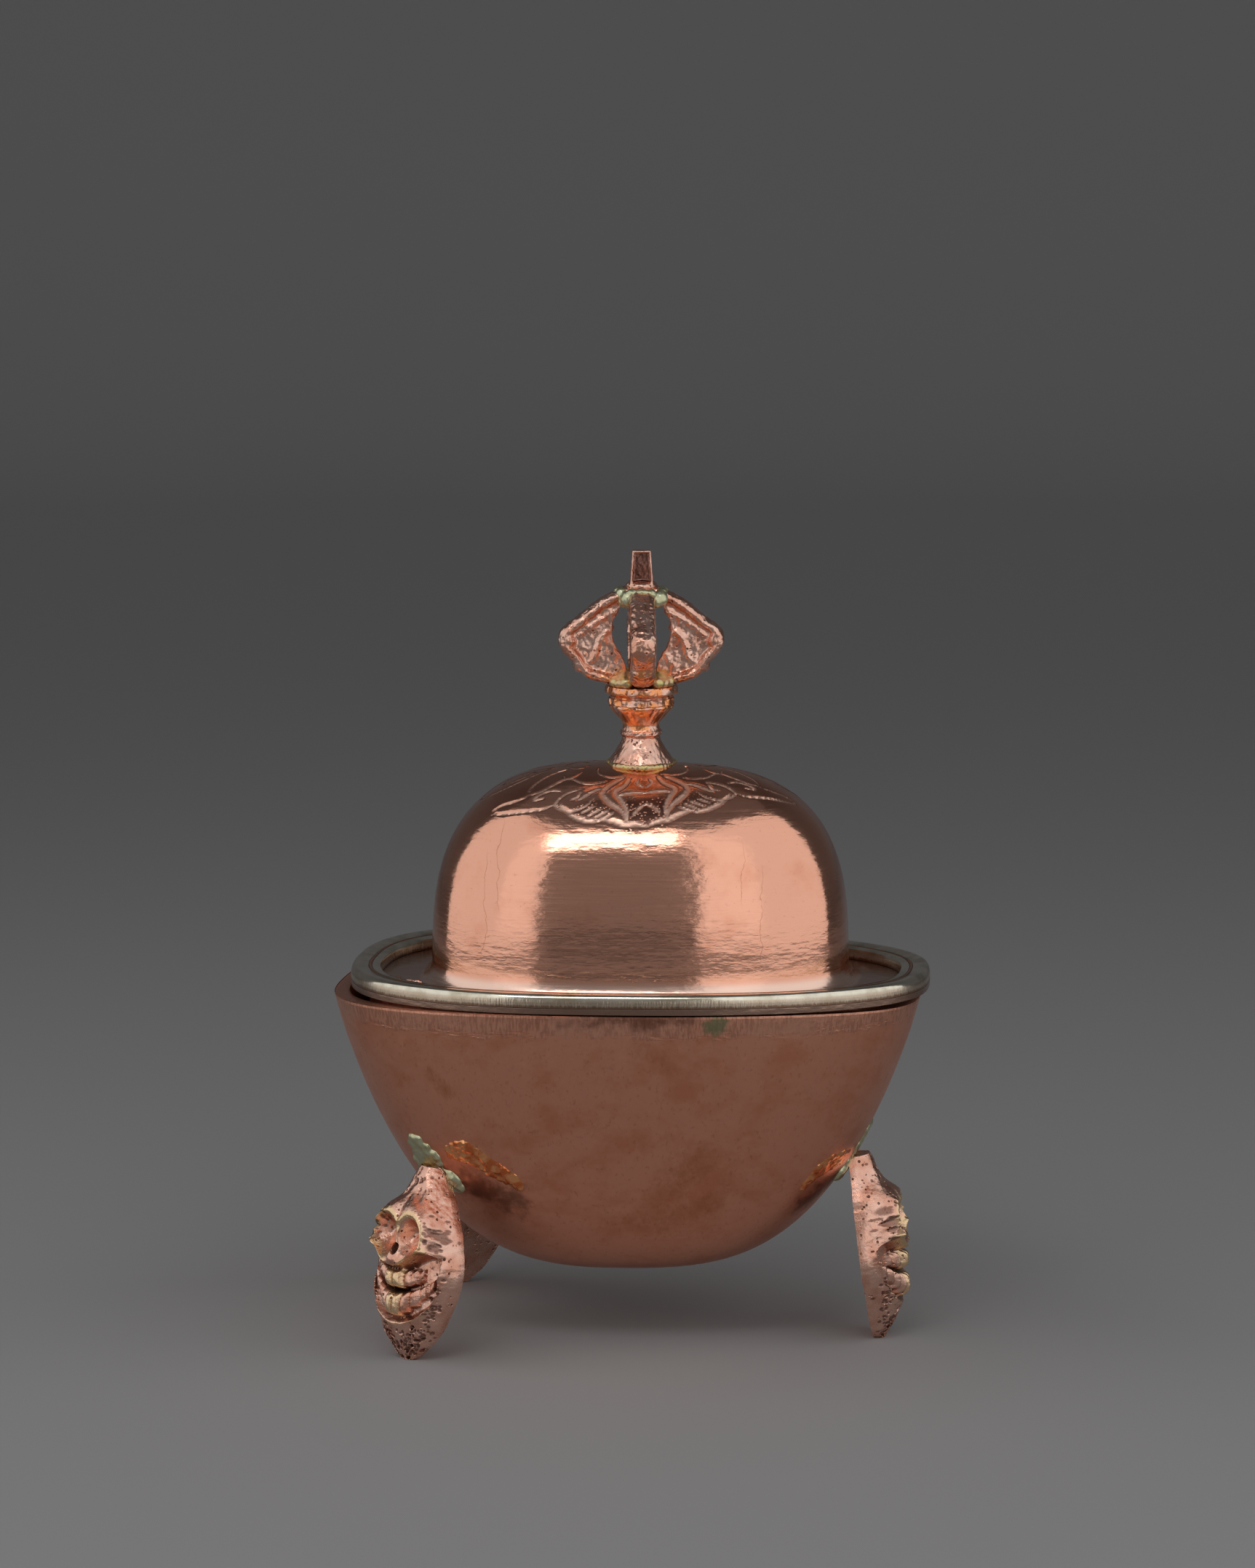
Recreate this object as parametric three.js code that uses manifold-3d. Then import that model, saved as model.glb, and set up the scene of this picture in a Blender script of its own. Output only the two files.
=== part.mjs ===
// Skull cup: an oval copper bowl standing on three cast skull masks, with a domed lid,
// a white metal rim round the lid's brim and a half vajra as the lid's finial.
// Millimetres, +Z up. The floor is z = 0 and the long axis of the oval lies along X.

import * as THREE from 'three';
import { mergeVertices } from 'three/addons/utils/BufferGeometryUtils.js';
import Module from 'manifold-3d';

const wasm = await Module();
wasm.setup();

// Driving dimensions: the bowl
const bowlHalfLength = 37.0;
const bowlHalfDepth = 23.6;
const bowlHeight = 36.55;
const bowlClearance = 8.7;
const bowlWall = 1.9;
const bowlRimRound = 0.35;
const rimDip = 0.9;

// Driving dimensions: the lid
const lidShift = 1.6;
const seatGap = 0.1;
const brimSetback = 0.5;
const sheet = 0.7;
const rimOuterWidth = 2.2;
const seamWidth = 0.35;
const rimInnerWidth = 1.15;
const rimRise = 1.85;
const rimDish = 0.45;
const rimRound = 0.75;
const wellLength = 6.6;
const wellDepth = 2.7;
const domeHeight = 27.05;
const coveRadius = 1.2;
const collarClearance = 2.4;
const collarWall = 0.8;
const collarDrop = 3.0;

// Driving dimensions: the finial
const stemHeight = 9.95;
const stemFootRadius = 4.0;
const vajraHeight = 16.95;
const prongReach = 10.4;
const prongRise = 12.35;
const prongWeb = 1.4;
const prongRidge = 2.2;
const prongBandWidth = 3.3;
const prongBandThickness = 1.05;
const barRadius = 1.5;
const barNeckHalf = 1.6;
const barTipHalf = 1.18;
const recessHeight = 3.6;
const recessDepth = 0.3;
const recessBorder = 0.3;
const vajraTurn = 9;
const petalDepth = 0.18;
const petalCount = 8;
const baseBrazeWidth = 0.85;
const baseBrazeHeight = 0.7;
const tipBrazeWidth = 0.55;
const tipBrazeHeight = 1.3;
const tipBrazeDrop = 2.65;
const rootBrazeHeight = 1.5;

// Driving dimensions: the skull masks that the bowl stands on
const maskHeight = 24.6;
const maskHalfWidth = 6.8;
const maskDepth = 6.2;
const maskEdge = 1.0;
const maskJoinDrop = 2.6;
const maskJoinHeight = maskHeight - maskJoinDrop;
const brazeHalfSizes = { across: 5.2, out: 5.0, up: 4.4 };
const brazeDrop = 0.6;
const brazeThickness = 0.7;

// Where the masks stand and which way they face, in degrees from the right end of the long axis,
// how far they lean in, stand off the wall and bow sideways, and how far their chins are ground off
const rightFoot = {
  placeAngle: 0, facingAngle: 2, leanAngle: 8.1, standoff: 0.55, bowWidth: 0, grind: 0.85,
};
const leftFoot = {
  placeAngle: 127.5, facingAngle: 125, leanAngle: 12.2, standoff: 0, bowWidth: 0.3, grind: 0.4,
};
const feet = [
  { name: 'right', ...rightFoot },
  { name: 'back_left', ...leftFoot },
  { name: 'front_left', ...mirrored(leftFoot) },
];

function mirrored(foot) {
  const { placeAngle, facingAngle, bowWidth } = foot;
  return { ...foot, placeAngle: -placeAngle, facingAngle: -facingAngle, bowWidth: -bowWidth };
}

// Fits
const solderGap = 0.3;
const touchGap = 0.05;
const cutOverrun = 5;

// Shape of the plan: a rounded oval, a little broader at its left end
const planPower = 2.55;
const domePlanPower = 2.7;
const eggShare = 0.14;
const planSteps = 40;

// Heights worked out from the sizes above
const rimTop = bowlClearance + bowlHeight;
const brimBottom = rimTop + seatGap;
const wellFloor = brimBottom + sheet;
const domeTop = wellFloor + domeHeight;
const stemBase = domeTop + touchGap;
const cupTop = domeTop + stemHeight;
const brimHalfLength = bowlHalfLength - brimSetback;
const brimHalfDepth = bowlHalfDepth - brimSetback;
const rimWidth = rimOuterWidth + seamWidth + rimInnerWidth;
const domeHalfLength = brimHalfLength - rimWidth - wellLength;
const domeHalfDepth = brimHalfDepth - rimWidth - wellDepth;

// Materials
const copper = metal(0xb5775f, 0.32);
const polishedCopper = metal(0xd08a6e, 0.2);
const castCopper = metal(0xb98270, 0.42);
const whiteMetal = metal(0xa6a08e, 0.34);
const brass = metal(0xb9b184, 0.4);

function metal(color, roughness) {
  return new THREE.MeshStandardMaterial({ color, roughness, metalness: 1 });
}

function signedPower(value, power) {
  return Math.sign(value) * Math.abs(value) ** power;
}

// One ring of points round the oval at a height, which may change along the length
function ovalRing(halfLength, halfDepth, height, power = planPower, turns = planSteps) {
  const ring = [];
  for (let i = 0; i < turns; i += 1) {
    const angle = (2 * Math.PI * i) / turns;
    const along = signedPower(Math.cos(angle), 2 / power);
    const across = signedPower(Math.sin(angle), 2 / power) * (1 - eggShare * along);
    const z = typeof height === 'function' ? height(along) : height;
    ring.push(new THREE.Vector3(halfLength * along, halfDepth * across, z));
  }
  return ring;
}

function middle(ring) {
  const sum = new THREE.Vector3();
  ring.forEach((point) => sum.add(point));
  return sum.divideScalar(ring.length);
}

// A closed solid through a run of rings, either capped at both ends or closed on itself
function loft(rings, closesOnItself = false) {
  const count = rings[0].length;
  const points = rings.flat();
  const faces = [];
  const bands = closesOnItself ? rings.length : rings.length - 1;
  for (let r = 0; r < bands; r += 1) {
    const next = (r + 1) % rings.length;
    for (let i = 0; i < count; i += 1) {
      const a = r * count + i;
      const b = r * count + ((i + 1) % count);
      const c = next * count + i;
      const d = next * count + ((i + 1) % count);
      faces.push(a, b, d, a, d, c);
    }
  }
  if (!closesOnItself) {
    const last = (rings.length - 1) * count;
    points.push(middle(rings[0]), middle(rings[rings.length - 1]));
    for (let i = 0; i < count; i += 1) {
      const j = (i + 1) % count;
      faces.push(points.length - 2, j, i);
      faces.push(points.length - 1, last + i, last + j);
    }
  }
  return facingOut(indexed(points, faces));
}

function indexed(points, faces) {
  const geometry = new THREE.BufferGeometry();
  const places = points.flatMap((point) => point.toArray());
  geometry.setAttribute('position', new THREE.Float32BufferAttribute(places, 3));
  geometry.setIndex(faces);
  return geometry;
}

// Turns the faces over where the solid came out inside out
function facingOut(geometry) {
  const place = geometry.attributes.position;
  const index = geometry.index.array;
  const corner = (i) => new THREE.Vector3().fromBufferAttribute(place, index[i]);
  let volume = 0;
  for (let i = 0; i < index.length; i += 3) {
    volume += corner(i).dot(corner(i + 1).cross(corner(i + 2)));
  }
  if (volume < 0) {
    for (let i = 0; i < index.length; i += 3) {
      [index[i], index[i + 1]] = [index[i + 1], index[i]];
    }
  }
  return geometry;
}

function plain(geometry) {
  const bare = geometry.clone();
  bare.deleteAttribute('normal');
  bare.deleteAttribute('uv');
  return mergeVertices(bare, 1e-5);
}

function solid(geometry) {
  const bare = plain(geometry);
  return new wasm.Manifold(new wasm.Mesh({
    numProp: 3,
    vertProperties: new Float32Array(bare.attributes.position.array),
    triVerts: new Uint32Array(bare.index.array),
  }));
}

function geometryOf(manifold) {
  const mesh = manifold.getMesh();
  const geometry = new THREE.BufferGeometry();
  geometry.setAttribute('position', new THREE.Float32BufferAttribute(mesh.vertProperties, 3));
  geometry.setIndex(new THREE.Uint32BufferAttribute(mesh.triVerts, 1));
  return geometry;
}

function named(name, geometry, material) {
  geometry.computeVertexNormals();
  const mesh = new THREE.Mesh(geometry, material);
  mesh.name = name;
  return mesh;
}

// A smooth value between the rows of a table of shares
function between(rows, at) {
  let k = 0;
  while (k < rows.length - 2 && at > rows[k + 1][0]) {
    k += 1;
  }
  const slope = (i) => {
    const low = rows[Math.max(i - 1, 0)];
    const high = rows[Math.min(i + 1, rows.length - 1)];
    return (high[1] - low[1]) / (high[0] - low[0]);
  };
  const span = rows[k + 1][0] - rows[k][0];
  const t = Math.min(Math.max((at - rows[k][0]) / span, 0), 1);
  const rise = rows[k + 1][1] - rows[k][1];
  const start = slope(k) * span;
  const end = slope(k + 1) * span;
  return rows[k][1] + t * (start + t * (3 * rise - 2 * start - end + t * (start + end - 2 * rise)));
}

// The bowl: a deep oval whose wall bows out of an almost flat bottom
const bowlFootPower = 1.15;
const bowlSidePower = 3.05;
const bowlOuterSteps = 9;
const bowlInnerSteps = 7;

function bowlReachShare(heightShare) {
  return (1 - (1 - heightShare) ** bowlFootPower) ** (1 / bowlSidePower);
}

function bowlHeightShare(reachShare) {
  return 1 - (1 - reachShare ** bowlSidePower) ** (1 / bowlFootPower);
}

// Rings of the bowl's outer shape, grown or shrunk all over by an offset
function bowlRings(offset, steps) {
  const rings = [];
  const dipAt = (share) => (along) => -rimDip * along ** 4 * share ** 2;
  for (let i = 1; i <= steps; i += 1) {
    const reachShare = Math.sin((Math.PI / 2) * (i / steps));
    const heightShare = bowlHeightShare(reachShare);
    const level = bowlClearance - offset + (bowlHeight + offset) * heightShare;
    const dip = dipAt(heightShare);
    rings.push(ovalRing(
      (bowlHalfLength + offset) * reachShare,
      (bowlHalfDepth + offset) * reachShare,
      (along) => level + dip(along),
    ));
  }
  return rings;
}

function makeBowl() {
  const outside = bowlRings(0, bowlOuterSteps);
  const inside = bowlRings(-bowlWall, bowlInnerSteps).reverse();
  outside[outside.length - 1].forEach((point) => {
    point.z -= bowlRimRound;
  });
  const rimLevel = (along) => rimTop - rimDip * along ** 4;
  const outerEdge = ovalRing(bowlHalfLength - bowlRimRound, bowlHalfDepth - bowlRimRound, rimLevel);
  return named('bowl', loft([...outside, outerEdge, ...inside]), copper);
}

// The lid: one copper sheet, raised to a dome, with a flat brim and a lip in the rim's seam.
// Seen from the front the dome has square shoulders, and seen from its end it is rounder.
const domeTopPower = 3.0;
const domeLengthPower = 3.3;
const domeDepthPower = 2.3;
const crownShare = 0.03;

function domeRing(alongShare, acrossShare, inset, level) {
  const halfLength = (domeHalfLength - inset) * alongShare;
  const halfDepth = (domeHalfDepth - inset) * acrossShare;
  return ovalRing(halfLength, halfDepth, level, domePlanPower);
}

function domeRings(inset, foot, steps) {
  const rings = [];
  for (let i = 0; i < steps; i += 1) {
    const fall = Math.cos((Math.PI / 2) * (i / steps)) ** 2;
    const alongShare = fall ** (1 / domeLengthPower);
    const acrossShare = fall ** (1 / domeDepthPower);
    const round = (1 - fall) ** (1 / domeTopPower);
    const rise = (1 - crownShare) * round + crownShare * (1 - alongShare ** 2);
    rings.push(domeRing(alongShare, acrossShare, inset, foot + (domeTop - inset - foot) * rise));
  }
  return rings;
}

function brimRing(inset, level) {
  return ovalRing(brimHalfLength - inset, brimHalfDepth - inset, level);
}

// Height of the rim's dished top at a distance in from the brim's edge
function rimLevelAt(inset) {
  return wellFloor + rimRise - rimDish * (inset / rimWidth);
}

function makeLidShell() {
  const lipOuter = rimOuterWidth;
  const lipInner = rimOuterWidth + seamWidth;
  const under = domeRings(sheet, brimBottom, 7).reverse();
  const coveMiddle = coveRadius * (1 - Math.SQRT1_2);
  const flare = domeRing(1, 1, -coveRadius, wellFloor);
  const cove = domeRing(1, 1, -coveMiddle, wellFloor + coveMiddle);
  const dome = domeRings(0, wellFloor + coveRadius, 10);
  const rings = [
    ...under,
    brimRing(0, brimBottom),
    brimRing(0, wellFloor),
    brimRing(lipOuter, wellFloor),
    brimRing(lipOuter, rimLevelAt(lipOuter)),
    brimRing(lipInner, rimLevelAt(lipInner)),
    brimRing(lipInner, wellFloor),
    flare,
    cove,
    ...dome,
  ];
  return named('lid_shell', loft(rings), polishedCopper);
}

function makeRimOuter() {
  const slack = touchGap;
  const shoulder = rimRound * (1 - Math.SQRT1_2);
  const rings = [
    brimRing(0, wellFloor + slack),
    brimRing(0, rimLevelAt(0) - rimRound),
    brimRing(shoulder, rimLevelAt(0) - shoulder),
    brimRing(rimRound, rimLevelAt(rimRound)),
    brimRing(rimOuterWidth - slack, rimLevelAt(rimOuterWidth)),
    brimRing(rimOuterWidth - slack, wellFloor + slack),
  ];
  return named('lid_rim_outer', loft(rings, true), whiteMetal);
}

function makeRimInner() {
  const from = rimOuterWidth + seamWidth + touchGap;
  const rings = [
    brimRing(from, wellFloor + touchGap),
    brimRing(from, rimLevelAt(from)),
    brimRing(rimWidth, rimLevelAt(rimWidth)),
    brimRing(rimWidth, wellFloor + touchGap),
  ];
  return named('lid_rim_inner', loft(rings, true), whiteMetal);
}

// The hidden collar under the brim, which keeps the lid on the bowl's mouth
function makeCollar() {
  const halfLength = bowlHalfLength - bowlWall - collarClearance;
  const halfDepth = bowlHalfDepth - bowlWall - collarClearance;
  const foot = brimBottom - collarDrop;
  const rings = [
    ovalRing(halfLength, halfDepth, foot),
    ovalRing(halfLength, halfDepth, brimBottom - touchGap),
    ovalRing(halfLength - collarWall, halfDepth - collarWall, brimBottom - touchGap),
    ovalRing(halfLength - collarWall, halfDepth - collarWall, foot),
  ];
  return named('lid_collar', loft(rings, true), copper);
}

// The finial's stem: bell foot, neck ring and lotus cup, as shares of foot radius and height
const stemProfileShares = [
  [0, 0], [1, 0], [1, 0.025], [0.915, 0.09], [0.725, 0.21], [0.62, 0.295], [0.595, 0.33],
  [0.645, 0.355], [0.655, 0.382], [0.645, 0.41], [0.595, 0.437], [0.595, 0.51], [0.862, 0.63],
  [1.0, 0.71], [0.99, 0.74], [1.03, 0.755], [1.03, 0.83], [0.985, 0.85], [1.12, 0.89],
  [1.13, 0.955], [1.08, 1], [0, 1],
];
const petalBandShares = [0.75, 0.97];
const stemTurns = 3 * petalCount;

function makeStem() {
  const height = cupTop - stemBase;
  const profile = stemProfileShares.map(([reach, rise]) => (
    new THREE.Vector2(reach * stemFootRadius, rise * height)
  ));
  const lathe = new THREE.LatheGeometry(profile, stemTurns);
  lathe.rotateX(Math.PI / 2);
  const place = lathe.attributes.position;
  for (let i = 0; i < place.count; i += 1) {
    const rise = place.getZ(i) / height;
    const reach = Math.hypot(place.getX(i), place.getY(i));
    if (rise > petalBandShares[0] && rise < petalBandShares[1] && reach > stemFootRadius / 2) {
      const angle = Math.atan2(place.getY(i), place.getX(i));
      const scale = 1 - (petalDepth / reach) * (1 - Math.cos(petalCount * angle));
      place.setXY(i, place.getX(i) * scale, place.getY(i) * scale);
    }
  }
  lathe.translate(0, 0, stemBase);
  return named('finial_stem', facingOut(plain(lathe)), castCopper);
}

// A section of the centre prong: a circle at power 2, and a square with round corners at a high one
const barTurns = 16;
const barSquarePower = 8;
const barTaperShares = [[0, 0], [0.15, 0], [0.35, 0.5], [0.7, 1], [1, 1]];

function barRing(half, power, level) {
  const ring = [];
  for (let i = 0; i < barTurns; i += 1) {
    const angle = (2 * Math.PI * i) / barTurns;
    const x = half * signedPower(Math.cos(angle), 2 / power);
    const y = half * signedPower(Math.sin(angle), 2 / power);
    ring.push(new THREE.Vector3(x, y, level));
  }
  return ring;
}

// The centre prong: a round post, then a square head whose front and back are sunk inside a border
function makeCentreProng() {
  const tip = cupTop + vajraHeight;
  const neck = cupTop + prongRise;
  const head = barTaperShares.map(([rise, taper]) => {
    const half = THREE.MathUtils.lerp(barNeckHalf, barTipHalf, taper);
    return barRing(half, barSquarePower, THREE.MathUtils.lerp(neck, tip, rise));
  });
  const rings = [
    barRing(barRadius, 2, cupTop + touchGap),
    barRing(barRadius, 2, neck - prongBandThickness),
    ...head,
  ];
  const width = 2 * (barTipHalf - recessBorder);
  const recess = new THREE.BoxGeometry(width, 2 * barNeckHalf, recessHeight);
  const middleOut = barTipHalf - recessDepth + barNeckHalf;
  recess.translate(0, middleOut, tip - recessBorder - recessHeight / 2);
  const front = solid(recess);
  recess.translate(0, -2 * middleOut, 0);
  const prong = solid(loft(rings)).subtract(front).subtract(solid(recess));
  return named('vajra_centre_prong', geometryOf(prong), castCopper);
}

// A side prong seen from the side: reach and rise as shares of prongReach and prongRise
const prongOuterShares = [
  [0.41, 0], [0.65, 0.06], [0.77, 0.15], [0.84, 0.24], [0.95, 0.33], [1, 0.42], [1, 0.5],
  [0.94, 0.59], [0.79, 0.685], [0.66, 0.775], [0.53, 0.86], [0.36, 0.94], [0.2, 1],
];
const prongInnerShares = [
  [0.2, 0.9], [0.25, 0.79], [0.3, 0.71], [0.34, 0.64], [0.35, 0.53], [0.32, 0.42],
  [0.265, 0.33], [0.19, 0.21], [0.17, 0.12], [0.17, 0],
];
const prongRidgeShares = [
  [[0.74, 0.49], [0.74, 0.56], [0.56, 0.64], [0.37, 0.72], [0.37, 0.66], [0.56, 0.57]],
  [
    [0.4, 0.52], [0.46, 0.5], [0.53, 0.4], [0.58, 0.29], [0.68, 0.22], [0.64, 0.17], [0.53, 0.23],
    [0.47, 0.37],
  ],
];

function prongPoint([reach, rise]) {
  return new THREE.Vector2(reach * prongReach, rise * prongRise);
}

// A flat plate in the upright plane of a prong, centred across its thickness
function uprightPlate(points, thickness) {
  const outline = new THREE.Shape(points);
  const plate = new THREE.ExtrudeGeometry(outline, { depth: thickness, bevelEnabled: false });
  plate.translate(0, 0, -thickness / 2);
  plate.rotateX(Math.PI / 2);
  return plate;
}

function prongBand(outer) {
  const inward = outer.map((point, i) => {
    const before = outer[Math.max(i - 1, 0)];
    const after = outer[Math.min(i + 1, outer.length - 1)];
    const { x, y } = after.clone().sub(before).setLength(prongBandThickness);
    return new THREE.Vector2(point.x - y, point.y + x);
  });
  inward[0].y = 0;
  inward[inward.length - 1].x = outer[outer.length - 1].x;
  return [...outer, ...inward.reverse()];
}

function makeProng(name, quarter) {
  const outer = prongOuterShares.map(prongPoint);
  const inner = prongInnerShares.map(prongPoint);
  const web = solid(uprightPlate([...outer, ...inner], prongWeb));
  const band = solid(uprightPlate(prongBand(outer), prongBandWidth));
  const ridges = prongRidgeShares.map((ridge) => solid(uprightPlate(ridge.map(prongPoint), prongRidge)));
  const prong = geometryOf(ridges.reduce((whole, ridge) => whole.add(ridge), web.add(band)));
  prong.rotateZ((Math.PI / 2) * quarter);
  prong.translate(0, 0, cupTop + touchGap);
  return named(name, prong, castCopper);
}

// Brass filling between the roots of two prongs, on top of the cup
const rootBrazeShares = [[0.47, 0], [1.0, 0], [0.92, 0.55], [0.7, 0.95], [0.47, 1]];

function makeRootBraze(name, quarter) {
  const profile = rootBrazeShares.map(([reach, rise]) => (
    new THREE.Vector2(reach * stemFootRadius, rise * rootBrazeHeight)
  ));
  profile.push(profile[0].clone());
  const ring = new THREE.LatheGeometry(profile, barTurns);
  ring.rotateX(Math.PI / 2);
  const side = 2 * (stemFootRadius + cutOverrun);
  const inset = prongBandWidth / 2 + touchGap;
  const corner = new THREE.BoxGeometry(side, side, side);
  corner.translate(side / 2 + inset, side / 2 + inset, 0);
  const outline = solid(facingOut(plain(ring))).intersect(solid(corner));
  const braze = geometryOf(outline);
  braze.rotateZ((Math.PI / 2) * quarter);
  braze.translate(0, 0, cupTop + touchGap);
  return named(name, braze, brass);
}

// A ring of brass with a rounded outside, round a post of the finial and with as many facets
function brazeRing(name, postRadius, postTurns, width, foot, height) {
  const innerRadius = postRadius + touchGap;
  const outerRadius = innerRadius + width;
  const profile = [
    new THREE.Vector2(innerRadius, 0),
    new THREE.Vector2(outerRadius, 0),
    new THREE.Vector2(outerRadius - width / 4, height / 2),
    new THREE.Vector2(innerRadius + width / 4, height),
    new THREE.Vector2(innerRadius, height),
    new THREE.Vector2(innerRadius, 0),
  ];
  const ring = new THREE.LatheGeometry(profile, postTurns);
  ring.rotateX(Math.PI / 2);
  ring.translate(0, 0, foot);
  return named(name, facingOut(plain(ring)), brass);
}

// The skull mask: half width and crown depth against height, as shares of its sizes. In the tables
// that follow, across is a share of the half width, up of the height, and depths are of the depth.
const maskOutlineShares = [
  [0, 0.14], [0.05, 0.34], [0.1, 0.52], [0.19, 0.73], [0.3, 0.89], [0.4, 0.975], [0.48, 1], [0.58, 0.94],
  [0.68, 0.83], [0.83, 0.59], [0.92, 0.41], [1, 0.26],
];
const maskCrownShares = [
  [0, 0.2], [0.05, 0.36], [0.1, 0.52], [0.15, 0.63], [0.22, 0.7], [0.3, 0.76], [0.4, 0.83], [0.5, 0.87],
  [0.6, 0.88], [0.7, 0.9], [0.76, 0.86], [0.82, 0.74], [0.88, 0.63], [1, 0.46],
];
const fullnessShares = { up: 0.467, halfHeight: 0.224 };
const leastSquareness = 3;
const extraSquareness = 2;
const templeShares = { across: 0.706, up: 0.659, halfWidth: 0.147, halfHeight: 0.089, depth: 0.129 };
const browDipShares = { across: 0, up: 0.728, halfWidth: 0.11, halfHeight: 0.037, depth: 0.121 };
const furrowShares = { across: 0.235, up: 0.837, halfWidth: 0.081, halfHeight: 0.069, depth: 0.057 };
const furrowSlant = 1.8;
const socketShares = { across: 0.274, up: 0.628, halfWidth: 0.228, halfHeight: 0.098, depth: 0.307 };
const socketWallShares = { from: 0.77, to: 1.13 };
const socketFloorShares = { from: 0.545, to: 0.667, lift: 0.194 };
const socketRimShares = { top: 0.96, fadeFrom: 0.504, fadeTo: 0.602, thickness: 0.19, place: 1.22 };
const bridgeShares = { halfWidth: 0.074, from: 0.671, to: 0.711, sunk: 0.7 };
const noseShares = { across: 0, up: 0.569, halfWidth: 0.066, halfHeight: 0.024, depth: 0.161 };
const noseWallShares = { from: 0.55, to: 1.25 };
const snoutShares = { across: 0, up: 0.512, halfWidth: 0.265, halfHeight: 0.045, depth: 0.145 };
const mouthShares = { up: 0.364, grin: 0.169, halfWidth: 0.904, above: 0.106, below: 0.157 };
const mouthWallShares = { from: 0.79, to: 1.07 };
const mouthFloorShares = { edge: 0.226, arch: 0.355, halfWidth: 0.941 };
const cheekShares = { across: 0.574, halfWidth: 0.265, rise: 0.039 };
const upperLipShares = { from: 0.147, to: 0.735, fade: 0.095, depth: 0.089, place: 1.13, thickness: 0.15 };
const lowerLipShares = { depth: 0.057, place: 1.12, thickness: 0.13 };
const lipFullness = 1.4;

// Each tooth of half a row: its place across, half width, reach, place over the gap, half height
const toothShares = [
  [0.094, 0.115, 0.96, 0.055, 0.057],
  [0.253, 0.082, 0.81, 0.053, 0.049],
  [0.374, 0.079, 0.74, 0.047, 0.043],
  [0.491, 0.077, 0.65, 0.041, 0.035],
  [0.079, 0.103, 0.92, -0.073, 0.069],
  [0.235, 0.1, 0.86, -0.067, 0.061],
  [0.391, 0.1, 0.77, -0.057, 0.051],
  [0.544, 0.097, 0.66, -0.047, 0.041],
  [0.684, 0.088, 0.54, -0.039, 0.029],
];
const toothSidePower = 4;
const toothTipPower = 3.2;

// Rows of points up the mask: from, to and how many. Its columns crowd towards the middle.
const maskRowShares = [[0, 0.2, 4], [0.2, 0.5, 14], [0.5, 0.76, 9], [0.76, 1, 4]];
const maskColumns = 26;
const columnCrowding = 0.8;

function bump(distance) {
  return Math.exp(-distance * distance);
}

// 0 below a range, 1 above it and smooth in between
function step(value, from, to) {
  return THREE.MathUtils.smoothstep(value, from, to);
}

// 1 in the middle of a feature, fading to nothing round it
function spot(shares, across, up) {
  return bump((across - shares.across) / shares.halfWidth) * bump((up - shares.up) / shares.halfHeight);
}

// Where a point lies in an oval feature: 0 at its middle and 1 at its edge
function within(shares, across, up) {
  return Math.hypot((across - shares.across) / shares.halfWidth, (up - shares.up) / shares.halfHeight);
}

// Chin, cheeks, temples and forehead: a crowned face, fullest at the level of the mouth
function crownDepth(side, across, up) {
  const crown = maskDepth * between(maskCrownShares, up);
  const fullness = bump((up - fullnessShares.up) / fullnessShares.halfHeight);
  const squareness = leastSquareness + extraSquareness * fullness;
  const furrow = { ...furrowShares, across: furrowShares.across + furrowSlant * (furrowShares.up - up) };
  let depth = maskEdge + (crown - maskEdge) * (1 - Math.abs(side) ** squareness);
  [templeShares, browDipShares, furrow].forEach((hollow) => {
    depth -= maskDepth * hollow.depth * spot(hollow, across, up);
  });
  return depth;
}

// Two deep sockets, whose raised rims meet between the brows like the top of a heart
function carveSockets(depth, across, up) {
  const place = within(socketShares, across, up);
  const rim = bump((place - socketRimShares.place) / socketRimShares.thickness);
  const belowBrow = 1 - step(up, bridgeShares.from, bridgeShares.to);
  const bridge = bump(across / bridgeShares.halfWidth) * belowBrow;
  const rimmed = step(up, socketRimShares.fadeFrom, socketRimShares.fadeTo);
  const shown = rimmed * (1 - bridgeShares.sunk * bridge);
  const raise = Math.max(maskDepth * socketRimShares.top - depth, 0) * rim * shown;
  const lift = socketFloorShares.lift * (1 - step(up, socketFloorShares.from, socketFloorShares.to));
  const inside = 1 - step(place, socketWallShares.from, socketWallShares.to);
  return depth + raise - maskDepth * (socketShares.depth - lift) * inside;
}

// One small hole under the bridge, and the upper jaw's round snout below it
function addNose(depth, across, up) {
  const hole = 1 - step(within(noseShares, across, up), noseWallShares.from, noseWallShares.to);
  return depth + maskDepth * (snoutShares.depth * spot(snoutShares, across, up) - noseShares.depth * hole);
}

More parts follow.
